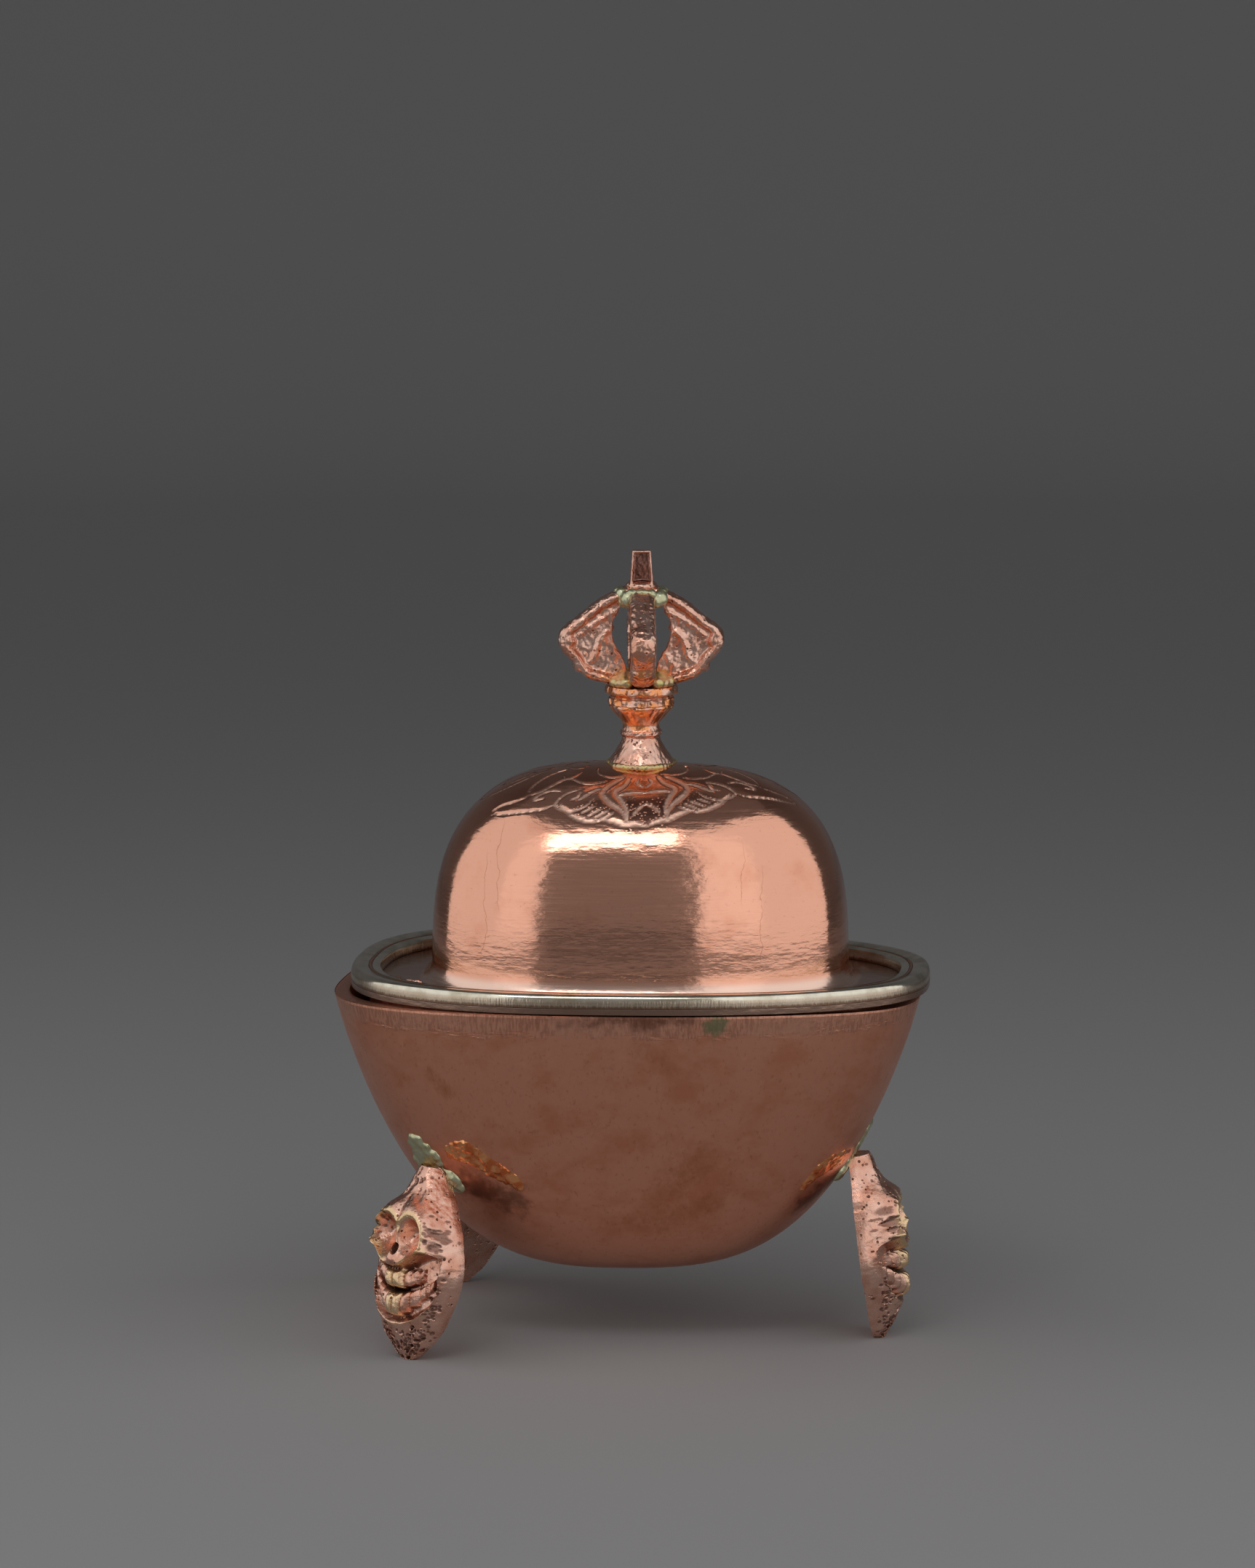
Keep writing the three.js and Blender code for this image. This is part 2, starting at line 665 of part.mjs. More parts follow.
// A grinning mouth: a crescent recess with raised lips, round two rows of teeth
function carveMouth(depth, across, up) {
  const gap = mouthShares.up + mouthShares.grin * across * across;
  const closing = Math.sqrt(Math.max(1 - (across / mouthShares.halfWidth) ** 5, 0));
  const cheekRise = cheekShares.rise * bump((across - cheekShares.across) / cheekShares.halfWidth);
  const upper = up > gap;
  const gape = upper ? mouthShares.above + cheekRise : mouthShares.below;
  const height = Math.max(gape * closing, Number.EPSILON);
  const place = Math.abs(up - gap) / height;
  const sunk = 1 - step(place, mouthWallShares.from, mouthWallShares.to);
  const open = across < mouthShares.halfWidth ? sunk : 0;
  const floorArch = Math.sqrt(Math.max(1 - (across / mouthFloorShares.halfWidth) ** 2, 0));
  const floor = maskDepth * (mouthFloorShares.edge + mouthFloorShares.arch * floorArch);
  const lip = upper ? upperLip(place, across) : lowerLip(place);
  const lipped = depth + maskDepth * lip * Math.min(lipFullness * closing, 1);
  const carved = THREE.MathUtils.lerp(lipped, Math.min(lipped, floor), open);
  const teeth = open > 0 ? toothShares.map((tooth) => toothDepth(tooth, floor, across, up - gap)) : [];
  return Math.max(carved, ...teeth);
}

function upperLip(place, across) {
  const { from, to, fade, depth, place: ridge, thickness } = upperLipShares;
  const length = step(across, from - fade, from + fade) * (1 - step(across, to - fade, to + fade));
  return depth * length * bump((place - ridge) / thickness);
}

function lowerLip(place) {
  return lowerLipShares.depth * bump((place - lowerLipShares.place) / lowerLipShares.thickness);
}

function toothDepth(tooth, floor, across, overGap) {
  const [middleShare, halfWidthShare, reachShare, overGapShare, halfHeightShare] = tooth;
  const x = Math.min(Math.abs(across - middleShare) / halfWidthShare, 1);
  const y = Math.min(Math.abs(overGap - overGapShare) / halfHeightShare, 1);
  const round = Math.sqrt((1 - x ** toothSidePower) * (1 - y ** toothTipPower));
  return floor + (maskDepth * reachShare - floor) * round;
}

function maskHalfWidthAt(up) {
  return maskHalfWidth * between(maskOutlineShares, up);
}

// Depth of the mask's face over its flat back, at a share of the half width and of the height
function maskFace(side, up) {
  const across = (Math.abs(side) * maskHalfWidthAt(up)) / maskHalfWidth;
  const crowned = crownDepth(side, across, up);
  const face = addNose(carveSockets(crowned, across, up), across, up);
  return Math.max(carveMouth(face, across, up), maskEdge);
}

// The mask stands on its chin at the origin, its flat back in the XZ plane, facing +Y
function maskGeometry(bowWidth, grow = 0) {
  const rows = [0];
  maskRowShares.forEach(([from, to, count]) => {
    for (let i = 1; i <= count; i += 1) {
      rows.push(from + ((to - from) * i) / count);
    }
  });
  const points = [];
  rows.forEach((up) => {
    const level = maskHeight * up + grow * (2 * up - 1);
    const half = maskHalfWidthAt(up) + grow;
    const bow = bowWidth * Math.sin(Math.PI * up);
    for (let c = 0; c <= maskColumns; c += 1) {
      const column = (2 * c) / maskColumns - 1;
      const side = column * (columnCrowding + (1 - columnCrowding) * column * column);
      points.push(new THREE.Vector3(bow + side * half, maskFace(side, up) + grow, level));
    }
    points.push(new THREE.Vector3(bow + half, -grow, level), new THREE.Vector3(bow - half, -grow, level));
  });
  const width = maskColumns + 3;
  const faces = [];
  for (let r = 0; r < rows.length - 1; r += 1) {
    for (let c = 0; c < width; c += 1) {
      const a = r * width + c;
      const b = r * width + ((c + 1) % width);
      faces.push(a, b, b + width, a, b + width, a + width);
    }
  }
  const last = (rows.length - 1) * width;
  for (let c = 1; c < width - 1; c += 1) {
    faces.push(0, c + 1, c, last, last + c, last + c + 1);
  }
  return facingOut(indexed(points, faces));
}

// The point of the bowl's wall at the join height whose wall faces a heading
function joinPoint(heading) {
  const share = bowlReachShare((maskJoinHeight - bowlClearance) / bowlHeight);
  const length = bowlHalfLength * share;
  const depth = bowlHalfDepth * share;
  const lengthwise = length * Math.cos(heading);
  const crosswise = depth * Math.sin(heading);
  const power = planPower / (planPower - 1);
  const size = (Math.abs(lengthwise) ** power + Math.abs(crosswise) ** power) ** (1 / power);
  const along = signedPower(lengthwise / size, power - 1);
  const across = signedPower(crosswise / size, power - 1) * (1 - eggShare * along);
  return new THREE.Vector3(length * along, depth * across, 0);
}

// Moves a mask to its foot's place: leaning in towards the bowl, its chin ground off at the floor
function placeAtFoot(geometry, foot) {
  const lean = THREE.MathUtils.degToRad(foot.leanAngle);
  const facing = THREE.MathUtils.degToRad(foot.facingAngle);
  const outward = new THREE.Vector3(Math.cos(facing), Math.sin(facing), 0);
  const reach = solderGap + foot.standoff + maskJoinHeight * Math.tan(lean);
  const chin = joinPoint(THREE.MathUtils.degToRad(foot.placeAngle)).addScaledVector(outward, reach);
  geometry.rotateX(lean);
  geometry.rotateZ(facing - Math.PI / 2);
  geometry.translate(chin.x, chin.y, -foot.grind);
  return geometry;
}

function makeFoot(foot, bowlRoom) {
  const side = 4 * bowlHalfLength;
  const floor = new THREE.BoxGeometry(side, side, maskHeight);
  floor.translate(0, 0, -maskHeight / 2);
  const mask = solid(placeAtFoot(maskGeometry(foot.bowWidth), foot));
  const seated = mask.subtract(bowlRoom).subtract(solid(floor));
  return named(`skull_foot_${foot.name}`, geometryOf(seated), castCopper);
}

// The braze that holds a mask: brass run along the bowl's wall, all round the mask's top
function makeFootBraze(foot, bowlRoom, brazeSkin) {
  const pad = new THREE.SphereGeometry(1, 16, 8);
  pad.scale(brazeHalfSizes.across, brazeHalfSizes.out, brazeHalfSizes.up);
  pad.translate(0, 0, maskHeight - brazeDrop);
  const patch = brazeSkin.intersect(solid(placeAtFoot(pad, foot)));
  const room = solid(placeAtFoot(maskGeometry(foot.bowWidth, solderGap), foot));
  return named(`foot_braze_${foot.name}`, geometryOf(patch.subtract(bowlRoom).subtract(room)), brass);
}

// The whole cup, its origin under the middle of its overall box
const cup = new THREE.Group();
const overhang = lidShift + brimHalfLength - bowlHalfLength;
cup.position.x = -overhang / 2;
cup.add(makeBowl());
const bowlRoom = solid(loft(bowlRings(solderGap, bowlOuterSteps)));
const brazeSkin = solid(loft(bowlRings(solderGap + brazeThickness, bowlOuterSteps)));
feet.forEach((foot) => {
  cup.add(makeFoot(foot, bowlRoom));
  cup.add(makeFootBraze(foot, bowlRoom, brazeSkin));
});

const lid = new THREE.Group();
lid.position.x = lidShift;
lid.add(makeLidShell(), makeRimOuter(), makeRimInner());
const collar = makeCollar();
collar.position.x = -lidShift;
lid.add(collar);

const finial = new THREE.Group();
finial.rotation.z = THREE.MathUtils.degToRad(vajraTurn);
finial.add(makeStem(), makeCentreProng());
const tipBrazeFoot = cupTop + prongRise - tipBrazeDrop;
finial.add(
  brazeRing('finial_base_braze', stemFootRadius, stemTurns, baseBrazeWidth, stemBase, baseBrazeHeight),
  brazeRing('prong_tip_braze', barRadius, barTurns, tipBrazeWidth, tipBrazeFoot, tipBrazeHeight),
);
['right', 'back', 'left', 'front'].forEach((side, quarter) => {
  finial.add(makeProng(`vajra_prong_${side}`, quarter));
  finial.add(makeRootBraze(`root_braze_${side}`, quarter));
});
lid.add(finial);
cup.add(lid);

export default cup;
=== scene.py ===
"""Skull cup: an oval copper bowl on three cast skull masks, its domed lid and half-vajra finial."""

import math

import bpy
import numpy as np
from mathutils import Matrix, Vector


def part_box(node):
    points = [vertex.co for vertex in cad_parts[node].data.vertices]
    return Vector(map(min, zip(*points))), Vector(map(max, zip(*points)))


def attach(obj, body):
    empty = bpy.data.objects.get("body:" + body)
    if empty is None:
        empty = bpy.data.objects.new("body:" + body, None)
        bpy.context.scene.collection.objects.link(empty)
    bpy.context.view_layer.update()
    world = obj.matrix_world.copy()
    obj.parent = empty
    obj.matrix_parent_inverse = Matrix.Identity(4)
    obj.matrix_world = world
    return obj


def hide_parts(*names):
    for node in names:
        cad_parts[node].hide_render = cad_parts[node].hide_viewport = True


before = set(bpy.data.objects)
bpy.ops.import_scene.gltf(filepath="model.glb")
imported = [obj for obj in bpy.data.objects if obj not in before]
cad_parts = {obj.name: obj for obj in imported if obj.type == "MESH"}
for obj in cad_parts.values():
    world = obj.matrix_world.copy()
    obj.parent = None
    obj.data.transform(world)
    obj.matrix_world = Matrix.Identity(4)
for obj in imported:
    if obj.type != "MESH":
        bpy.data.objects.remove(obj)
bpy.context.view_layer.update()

MM = 0.001


def middle_of(node):
    low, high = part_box(node)
    return (low[0] + high[0]) / 2 / MM


# Sizes in millimetres: the bowl
BOWL_MIDDLE = middle_of("bowl")
BOWL_HALF_LENGTH = 37.0
BOWL_HALF_DEPTH = 23.6
BOWL_HEIGHT = 36.55
BOWL_CLEARANCE = 8.7
BOWL_WALL = 1.9
BOWL_FOOT_POWER = 1.15
BOWL_SIDE_POWER = 3.05
RIM_DIP = 0.9
RIM_TOP = BOWL_CLEARANCE + BOWL_HEIGHT

# The lid
LID_MIDDLE = middle_of("lid_rim_outer")
SEAT_GAP = 0.1
SHEET = 0.7
BRIM_HALF_LENGTH = 36.5
BRIM_HALF_DEPTH = 23.1
RIM_OUTER_WIDTH = 2.2
SEAM_WIDTH = 0.35
RIM_INNER_WIDTH = 1.15
RIM_RISE = 1.85
RIM_DISH = 0.45
RIM_ROUND = 0.75
RIM_ROUND_DEPTH = 1.15
WELL_LENGTH = 6.6
WELL_DEPTH = 2.7
DOME_HEIGHT = 27.05
COVE_REACH = 1.8
COVE_RISE = 2.7
DOME_FOOT_RISE = 1.2
COLLAR_CLEARANCE = 2.4
COLLAR_WALL = 0.8
COLLAR_DROP = 3.0
TOUCH_GAP = 0.05
BRIM_BOTTOM = RIM_TOP + SEAT_GAP
WELL_FLOOR = BRIM_BOTTOM + SHEET
DOME_TOP = WELL_FLOOR + DOME_HEIGHT
RIM_WIDTH = RIM_OUTER_WIDTH + SEAM_WIDTH + RIM_INNER_WIDTH
DOME_HALF_LENGTH = BRIM_HALF_LENGTH - RIM_WIDTH - WELL_LENGTH
DOME_HALF_DEPTH = BRIM_HALF_DEPTH - RIM_WIDTH - WELL_DEPTH

# The plan: a rounded oval, a little broader at its left end. The skins stay just inside the solids' plan.
PLAN_POWER = 2.55
DOME_PLAN_POWER = 2.7
DOME_LENGTH_POWER = 3.3
DOME_DEPTH_POWER = 2.3
EGG_SHARE = 0.14
SKIN_LENGTH_SHARE = 0.9999
SKIN_DEPTH_SHARE = 0.9994
PLAN_TURNS = 320
DOME_TURNS = 480

# The finial
STEM_FOOT_RADIUS = 4.0
STEM_HEIGHT = 9.95
CUP_TOP = DOME_TOP + STEM_HEIGHT
VAJRA_HEIGHT = 16.95
VAJRA_TURN = math.radians(9)
PRONG_REACH = 10.4
PRONG_RISE = 12.35
PRONG_WEB = 2.0
PRONG_BAND_WIDTH = 3.3
PRONG_BAND_THICKNESS = 1.55
BAR_RADIUS = 1.5
BAR_NECK_HALF = 1.6
BAR_TIP_HALF = 1.18
RECESS_BORDER = 0.3
RECESS_DEPTH = 0.45
PETAL_COUNT = 8
PETAL_DEPTH = 0.22
PEARL_DEPTH = 0.16
STEM_GROWTH = 0.16
GRAIN = 0.11

# The skull masks
MASK_HEIGHT = 24.6
MASK_HALF_WIDTH = 6.8
MASK_DEPTH = 6.2
MASK_EDGE = 1.0
MASK_JOIN_HEIGHT = MASK_HEIGHT - 2.6
MASK_COLUMNS = 170
MASK_ROWS = 330
SOLDER_GAP = 0.3
BRAZE_SPACING = 0.45
MASK_SKIN = [(2.4, 0.26), (1.1, 0.1), (0.45, 0.045)]

# Where the masks stand and face, in degrees, how they lean, stand off, bow sideways and are ground off
RIGHT_FOOT = {"place": 0, "facing": 2, "lean": 8.1, "standoff": 0.55, "bow": 0, "grind": 0.85, "nose": 0}
BACK_FOOT = dict(RIGHT_FOOT, place=127.5, facing=125, lean=12.2, standoff=0, bow=0.3, grind=0.4, nose=-0.08)
FRONT_FOOT = dict(BACK_FOOT, place=-127.5, facing=-125, bow=-0.3, nose=0.08)
FEET = {"right": RIGHT_FOOT, "back_left": BACK_FOOT, "front_left": FRONT_FOOT}

# The photograph's camera: it looks at a point on the cup's axis, from in front and a little to the right
CAMERA_TARGET = Vector((-0.69, -0.02, 70.32)) * MM
CAMERA_DISTANCE = 600 * MM
CAMERA_TURN = 7.5
CAMERA_PITCH = math.radians(8.87)
CAMERA_LENS = 109.37
SENSOR_HEIGHT = 36.0

# The studio: its backdrop, in millimetres, and the distances over which its paint turns from the floor's tone
# to the wall's lighter one, a painted light that makes up for the light falling off
STUDIO_RADIUS = 1100
STUDIO_FILLET = 500
STUDIO_HEIGHT = 2400
FILLET_STEPS = 13
PAINTED_LIGHT_FALL_OFF = (150.0, 1300.0)
FLOOR_TONE = (0.36, 0.357, 0.36)
WALL_TONE = (0.66, 0.65, 0.652)
ROOM_TONE = (0.11, 0.11, 0.115)

# Panels of light on the floor: the turns in degrees they span, reach and height in metres, brightness
PANELS = {
    "panel_left": (-103, -18, 0.28, 0.62, 0.68),
    "panel_right": (16, 106, 0.28, 0.62, 0.74),
    "panel_dim": (-40, 40, 0.9, 1.3, 0.15),
}
TOP_PANEL_TURN = -6
TOP_PANEL_REACH = 0.38
TOP_PANEL_HEIGHT = 0.5
TOP_PANEL_SIZE = (0.24, 0.13)
TOP_PANEL_BRIGHTNESS = 3.2
LIGHT_AIM = Vector((0, 0, 0.06))


class Value:
    """A socket of a finish's nodes, which adds its Math nodes when it is used in a sum."""

    def __init__(self, finish, socket):
        self.finish = finish
        self.socket = socket

    def math(self, operation, *others):
        return self.finish.node("Math", {"operation": operation}, dict(enumerate((self, *others))))

    def __add__(self, other):
        return self.math("ADD", other)

    def __sub__(self, other):
        return self.math("SUBTRACT", other)

    def __mul__(self, other):
        return self.math("MULTIPLY", other)

    def __rsub__(self, other):
        return self.finish.node("Math", {"operation": "SUBTRACT"}, {0: other, 1: self})

    def ramp(self, low, high):
        """0 at low, 1 at high and smooth in between."""
        values = {"Value": self, "From Min": low, "From Max": high}
        return self.finish.node("MapRange", {"interpolation_type": "SMOOTHSTEP"}, values)


class Finish:
    """A material of the cup and the nodes that make it."""

    def __init__(self, name, metallic=1.0):
        self.material = bpy.data.materials.new(name)
        self.material.use_nodes = True
        self.tree = self.material.node_tree
        self.shader = self.tree.nodes["Principled BSDF"].inputs
        self.shader["Metallic"].default_value = metallic
        self.place = self.node("TexCoord", output="Object")

    def node(self, kind, settings=None, values=None, output=0):
        """A node of a kind: its settings first, then the values or links of its sockets."""
        node = self.tree.nodes.new("ShaderNode" + kind)
        for setting, value in (settings or {}).items():
            setattr(node, setting, value)
        for socket, value in (values or {}).items():
            self.feed(node.inputs[socket], value)
        return Value(self, node.outputs[output])

    def feed(self, socket, value):
        if isinstance(value, Value):
            self.tree.links.new(value.socket, socket)
        else:
            socket.default_value = value

    def stretched(self, size, stretch, shift):
        """Object coordinates in which a length of size millimetres counts as one, longer where stretched."""
        scale = tuple(1 / (size * MM * share) for share in stretch)
        values = {"Vector": self.place, "Scale": scale, "Location": (shift, shift, shift)}
        return self.node("Mapping", None, values)

    def clouds(self, size, detail=2.0, stretch=(1, 1, 1), shift=0.0, roughness=0.5):
        """Noise from 0 to 1, with lumps of a size in millimetres."""
        place = self.stretched(size, stretch, shift)
        values = {"Vector": place, "Scale": 1.0, "Detail": detail, "Roughness": roughness}
        return self.node("TexNoise", None, values)

    def cells(self, size):
        """Distance to the middles of scattered cells of a size in millimetres."""
        values = {"Vector": self.stretched(size, (1, 1, 1), 0.0), "Scale": 1.0}
        return self.node("TexVoronoi", {"feature": "F1"}, values, "Distance")

    def axis(self, name):
        """One of the object coordinates, in millimetres."""
        return self.node("SeparateXYZ", None, {0: self.place}, name) * (1 / MM)

    def distance_to(self, point):
        """Distance in millimetres from a point given in millimetres."""
        values = {0: self.place, 1: tuple(part * MM for part in point)}
        return self.node("VectorMath", {"operation": "DISTANCE"}, values, "Value") * (1 / MM)

    def written(self, name):
        """A value written on the piece's points, or 0 on a piece that has none."""
        return self.node("Attribute", {"attribute_name": name}, None, "Fac")

    def hollows(self, reach):
        """1 in the hollows of the piece itself and 0 on its open faces."""
        values = {"Distance": reach * MM}
        return 1 - self.node("AmbientOcclusion", {"only_local": True, "samples": 6}, values, "AO")

    def painted(self, colour, *tints):
        """A colour with tints over it: each is a share and a colour."""
        colour = (*colour, 1)
        for share, tint in tints:
            values = {0: share, 6: colour, 7: (*tint, 1)}
            colour = self.node("Mix", {"data_type": "RGBA"}, values, 2)
        return colour

    def use(self, colour, roughness, *layers):
        """Feeds the shader a colour, a roughness and layers of relief: heights and their millimetres."""
        self.feed(self.shader["Base Color"], colour)
        self.feed(self.shader["Roughness"], roughness)
        normal = {}
        for height, size in layers:
            values = {"Height": height, "Strength": 1.0, "Distance": size * MM, **normal}
            normal = {"Normal": self.node("Bump", None, values)}
        for socket, value in normal.items():
            self.feed(self.shader[socket], value)
        return self.material


def pick(piece):
    """Selects a piece and nothing else, and makes it the active one."""
    bpy.ops.object.select_all(action="DESELECT")
    piece.select_set(True)
    bpy.context.view_layer.objects.active = piece


def edit(piece):
    pick(piece)
    bpy.ops.object.mode_set(mode="EDIT")
    bpy.ops.mesh.select_mode(type="VERT")
    bpy.ops.mesh.select_all(action="SELECT")


def edit_border(piece):
    """Opens a piece for editing with only its open edges selected."""
    edit(piece)
    bpy.ops.mesh.select_all(action="DESELECT")
    bpy.ops.mesh.select_non_manifold()


def name_piece(piece, name):
    piece.name = name
    piece.data.name = name
    return piece


def finish_editing(piece, name=None, smooth_angle=40):
    """Leaves edit mode with faces outward and smooth, and names the piece."""
    bpy.ops.mesh.select_all(action="SELECT")
    bpy.ops.mesh.normals_make_consistent(inside=False)
    bpy.ops.object.mode_set(mode="OBJECT")
    bpy.ops.object.shade_smooth_by_angle(angle=math.radians(smooth_angle))
    return name_piece(piece, name or piece.name)


def points_of(piece):
    places = np.empty(len(piece.data.vertices) * 3)
    piece.data.vertices.foreach_get("co", places)
    return places.reshape(-1, 3) / MM


def move_points(piece, places):
    piece.data.vertices.foreach_set("co", (np.asarray(places) * MM).ravel())
    piece.data.update()


def write_values(piece, name, values):
    """Keeps a number for each point of a piece, for its material."""
    attribute = piece.data.attributes.new(name, "FLOAT", "POINT")
    attribute.data.foreach_set("value", np.asarray(values, dtype=np.float32))


def apply_modifier(piece, kind, name, **settings):
    pick(piece)
    modifier = piece.modifiers.new(name, kind)
    for setting, value in settings.items():
        setattr(modifier, setting, value)
    bpy.ops.object.modifier_apply(modifier=name)


def roughen(piece, size, height):
    """Knocks a cast or beaten skin inwards by up to a height, in lumps of a size."""
    texture = bpy.data.textures.new(f"{piece.name}_skin", "CLOUDS")
    texture.noise_scale = size * MM
    texture.noise_depth = 2
    apply_modifier(piece, "DISPLACE", "skin", texture=texture, strength=height * MM, mid_level=0.85)


def join(pieces, name):
    pick(pieces[0])
    for piece in pieces:
        piece.select_set(True)
    bpy.ops.object.join()
    return name_piece(pieces[0], name)


def cast(piece, grain=GRAIN, softness=8, size=0.9, height=0.14):
    """Fuses the shapes of a piece into one skin, softened and a little lumpy, as from a mould."""
    apply_modifier(piece, "REMESH", "skin", mode="VOXEL", voxel_size=grain * MM)
    apply_modifier(piece, "SMOOTH", "soft", factor=0.5, iterations=softness)
    roughen(piece, size, height)
    bpy.ops.object.shade_smooth()
    return piece


def belongs(piece, body, slot, material, *nodes):
    """Gives a piece its body and its material, and hides the nodes that it stands for."""
    piece.data.materials.clear()
    piece.data.materials.append(material)
    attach(piece, body)
    if nodes:
        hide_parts(*nodes)


def outward_at(heading):
    """The level direction at a heading in degrees."""
    angle = math.radians(heading)
    return np.array([math.cos(angle), math.sin(angle), 0])


def turned(x, y, angle):
    """Two coordinates after a turn by an angle."""
    return x * math.cos(angle) - y * math.sin(angle), x * math.sin(angle) + y * math.cos(angle)


def signed_power(value, power):
    return np.sign(value) * np.abs(value) ** power


def bump(distance):
    return np.exp(-distance * distance)


def step(value, low, high):
    """0 below low, 1 above high and smooth in between."""
    share = np.clip((value - low) / (high - low), 0, 1)
    return share * share * (3 - 2 * share)


def between(rows, at):
    """A smooth value between the rows of a table of shares."""
    rows = np.array(rows, float)
    at = np.asarray(at, float)
    low = np.clip(np.searchsorted(rows[:, 0], at) - 1, 0, len(rows) - 2)
    slopes = np.gradient(rows[:, 1], rows[:, 0])
    slopes[1:-1] = (rows[2:, 1] - rows[:-2, 1]) / (rows[2:, 0] - rows[:-2, 0])
    span = rows[low + 1, 0] - rows[low, 0]
    t = np.clip((at - rows[low, 0]) / span, 0, 1)
    rise = rows[low + 1, 1] - rows[low, 1]
    start = slopes[low] * span
    end = slopes[low + 1] * span
    return rows[low, 1] + t * (start + t * (3 * rise - 2 * start - end + t * (start + end - 2 * rise)))


def smooth_path(points, per=6):
    """More points along a smooth curve through the given ones."""
    points = np.array(points, float)
    ends = np.vstack([2 * points[0] - points[1], points, 2 * points[-1] - points[-2]])
    path = []
    for before, start, end, after in zip(ends, ends[1:], ends[2:], ends[3:]):
        for i in range(per):
            t = i / per
            bend = (2 * before - 5 * start + 4 * end - after) * t * t
            bend = bend + (3 * start - before - 3 * end + after) * t ** 3
            path.append(start + ((end - before) * t + bend) / 2)
    return np.array([*path, points[-1]])


def runs_along(path):
    """How far along a path each of its points lies."""
    return np.concatenate([[0], np.cumsum(np.hypot(*np.diff(path, axis=0).T))])


def beside_line(places, start, end):
    """Where places lie along a line, from 0 at its start to 1 at its end, and how far from it."""
    line = np.subtract(end, start)
    share = np.clip((places - start) @ line / (line @ line), 0, 1)
    return share, np.linalg.norm(places - start - share[:, None] * line, axis=1)


def oval(power, turns):
    """An even ring of points round the plan, one unit to each side and level."""
    angle = np.linspace(0, 2 * math.pi, 20 * turns + 1)
    along = signed_power(np.cos(angle), 2 / power) * SKIN_LENGTH_SHARE
    across = signed_power(np.sin(angle), 2 / power) * (1 - EGG_SHARE * along) * SKIN_DEPTH_SHARE
    lengths = np.hypot(np.diff(along), np.diff(across) * BRIM_HALF_DEPTH / BRIM_HALF_LENGTH)
    runs = np.concatenate([[0], np.cumsum(lengths)])
    at = np.linspace(0, runs[-1], turns, endpoint=False)
    return np.stack([np.interp(at, runs, along), np.interp(at, runs, across), 0 * at], 1)


def circle(turns):
    angle = np.linspace(0, 2 * math.pi, turns, endpoint=False)
    return np.stack([np.cos(angle), np.sin(angle), 0 * angle], 1)


def draw_up(steps, middle=0):
    """Draws the selected ring on through its steps: each is a half length, a half depth and a level."""
    for old, new in zip(steps, steps[1:]):
        bpy.ops.mesh.extrude_edges_move(TRANSFORM_OT_translate={"value": (0, 0, (new[2] - old[2]) * MM)})
        grow = (new[0] / old[0], new[1] / old[1], 1)
        bpy.ops.transform.resize(value=grow, center_override=(middle * MM, 0, 0))


def raise_wall(name, outline, steps, middle, closes=False):
    """A wall raised ring by ring from an outline: each step is its half length, half depth and level."""
    length, depth, level = steps[0]
    bpy.ops.mesh.primitive_circle_add(vertices=len(outline), radius=MM)
    piece = bpy.context.object
    move_points(piece, outline * (length, depth, 1) + (middle, 0, level))
    edit(piece)
    draw_up(steps, middle)
    if closes:
        bpy.ops.mesh.select_all(action="SELECT")
        bpy.ops.mesh.remove_doubles(threshold=TOUCH_GAP * MM / 10)
    return finish_editing(piece, name)


def close_ends(piece):
    """Closes the open ends of a wall with a flat face each."""
    edit_border(piece)
    bpy.ops.mesh.fill_holes(sides=0)
    return finish_editing(piece)


def bowl_height_share(reach):
    return 1 - (1 - reach ** BOWL_SIDE_POWER) ** (1 / BOWL_FOOT_POWER)


def bowl_reach_share(height):
    height = np.clip(height, 0, 1)
    return (1 - (1 - height) ** BOWL_FOOT_POWER) ** (1 / BOWL_SIDE_POWER)


def bowl_steps(offset, count):
    """Rings of the bowl's outer shape, grown or shrunk all over, from the bottom to the mouth."""
    steps = []
    for i in range(1, count + 1):
        reach = math.sin(math.pi / 2 * i / count)
        level = BOWL_CLEARANCE - offset + (BOWL_HEIGHT + offset) * bowl_height_share(reach)
        steps.append(((BOWL_HALF_LENGTH + offset) * reach, (BOWL_HALF_DEPTH + offset) * reach, level))
    return steps


# Heat colour beside the feet, stains, and painted shade below two heat runs and under the rim's front, on the
# bowl: two ends and a reach in millimetres
HEAT_RUNS = [
    ((-22.0, -18.0, 27.4), (-12.4, -18.0, 22.6), 2.3),
    ((28.6, -6.6, 26.0), (21.6, -10.6, 21.0), 1.9),
    ((-22.0, 18.0, 27.4), (-13.5, 18.3, 23.0), 2.1),
    ((28.6, 6.6, 26.0), (23.0, 10.2, 22.0), 1.7),
]
STAIN_RUNS = [
    ((5.2, -16.6, 20.0), (10.2, -17.6, 25.5), 3.6),
    ((3.0, -15.4, 17.6), (12.0, -15.4, 20.0), 2.6),
    ((-22.4, -20.6, 36.8), (-20.4, -20.8, 34.6), 1.6),
    ((4.0, -22.2, 41.0), (8.0, -22.2, 38.5), 1.7),
    ((-12.0, 17.5, 25.0), (-7.0, 17.0, 22.0), 3.0),
    ((8.0, 21.0, 38.0), (11.0, 20.0, 34.0), 2.2),
]
# Painted shade: dark brown patches below two heat runs, and a dark band under the rim's front
PAINTED_SHADE_RUNS = [
    ((-18.5, -16.5, 22.0), (-13.0, -17.0, 20.0), 2.6),
    ((27.0, -4.5, 21.5), (22.5, -7.8, 18.5), 2.2),
    ((-17.0, -21.4, 45.3), (10.0, -23.4, 45.3), 1.9),
]
VERDIGRIS_SPOT = (13.0, -22.0, 44.0)


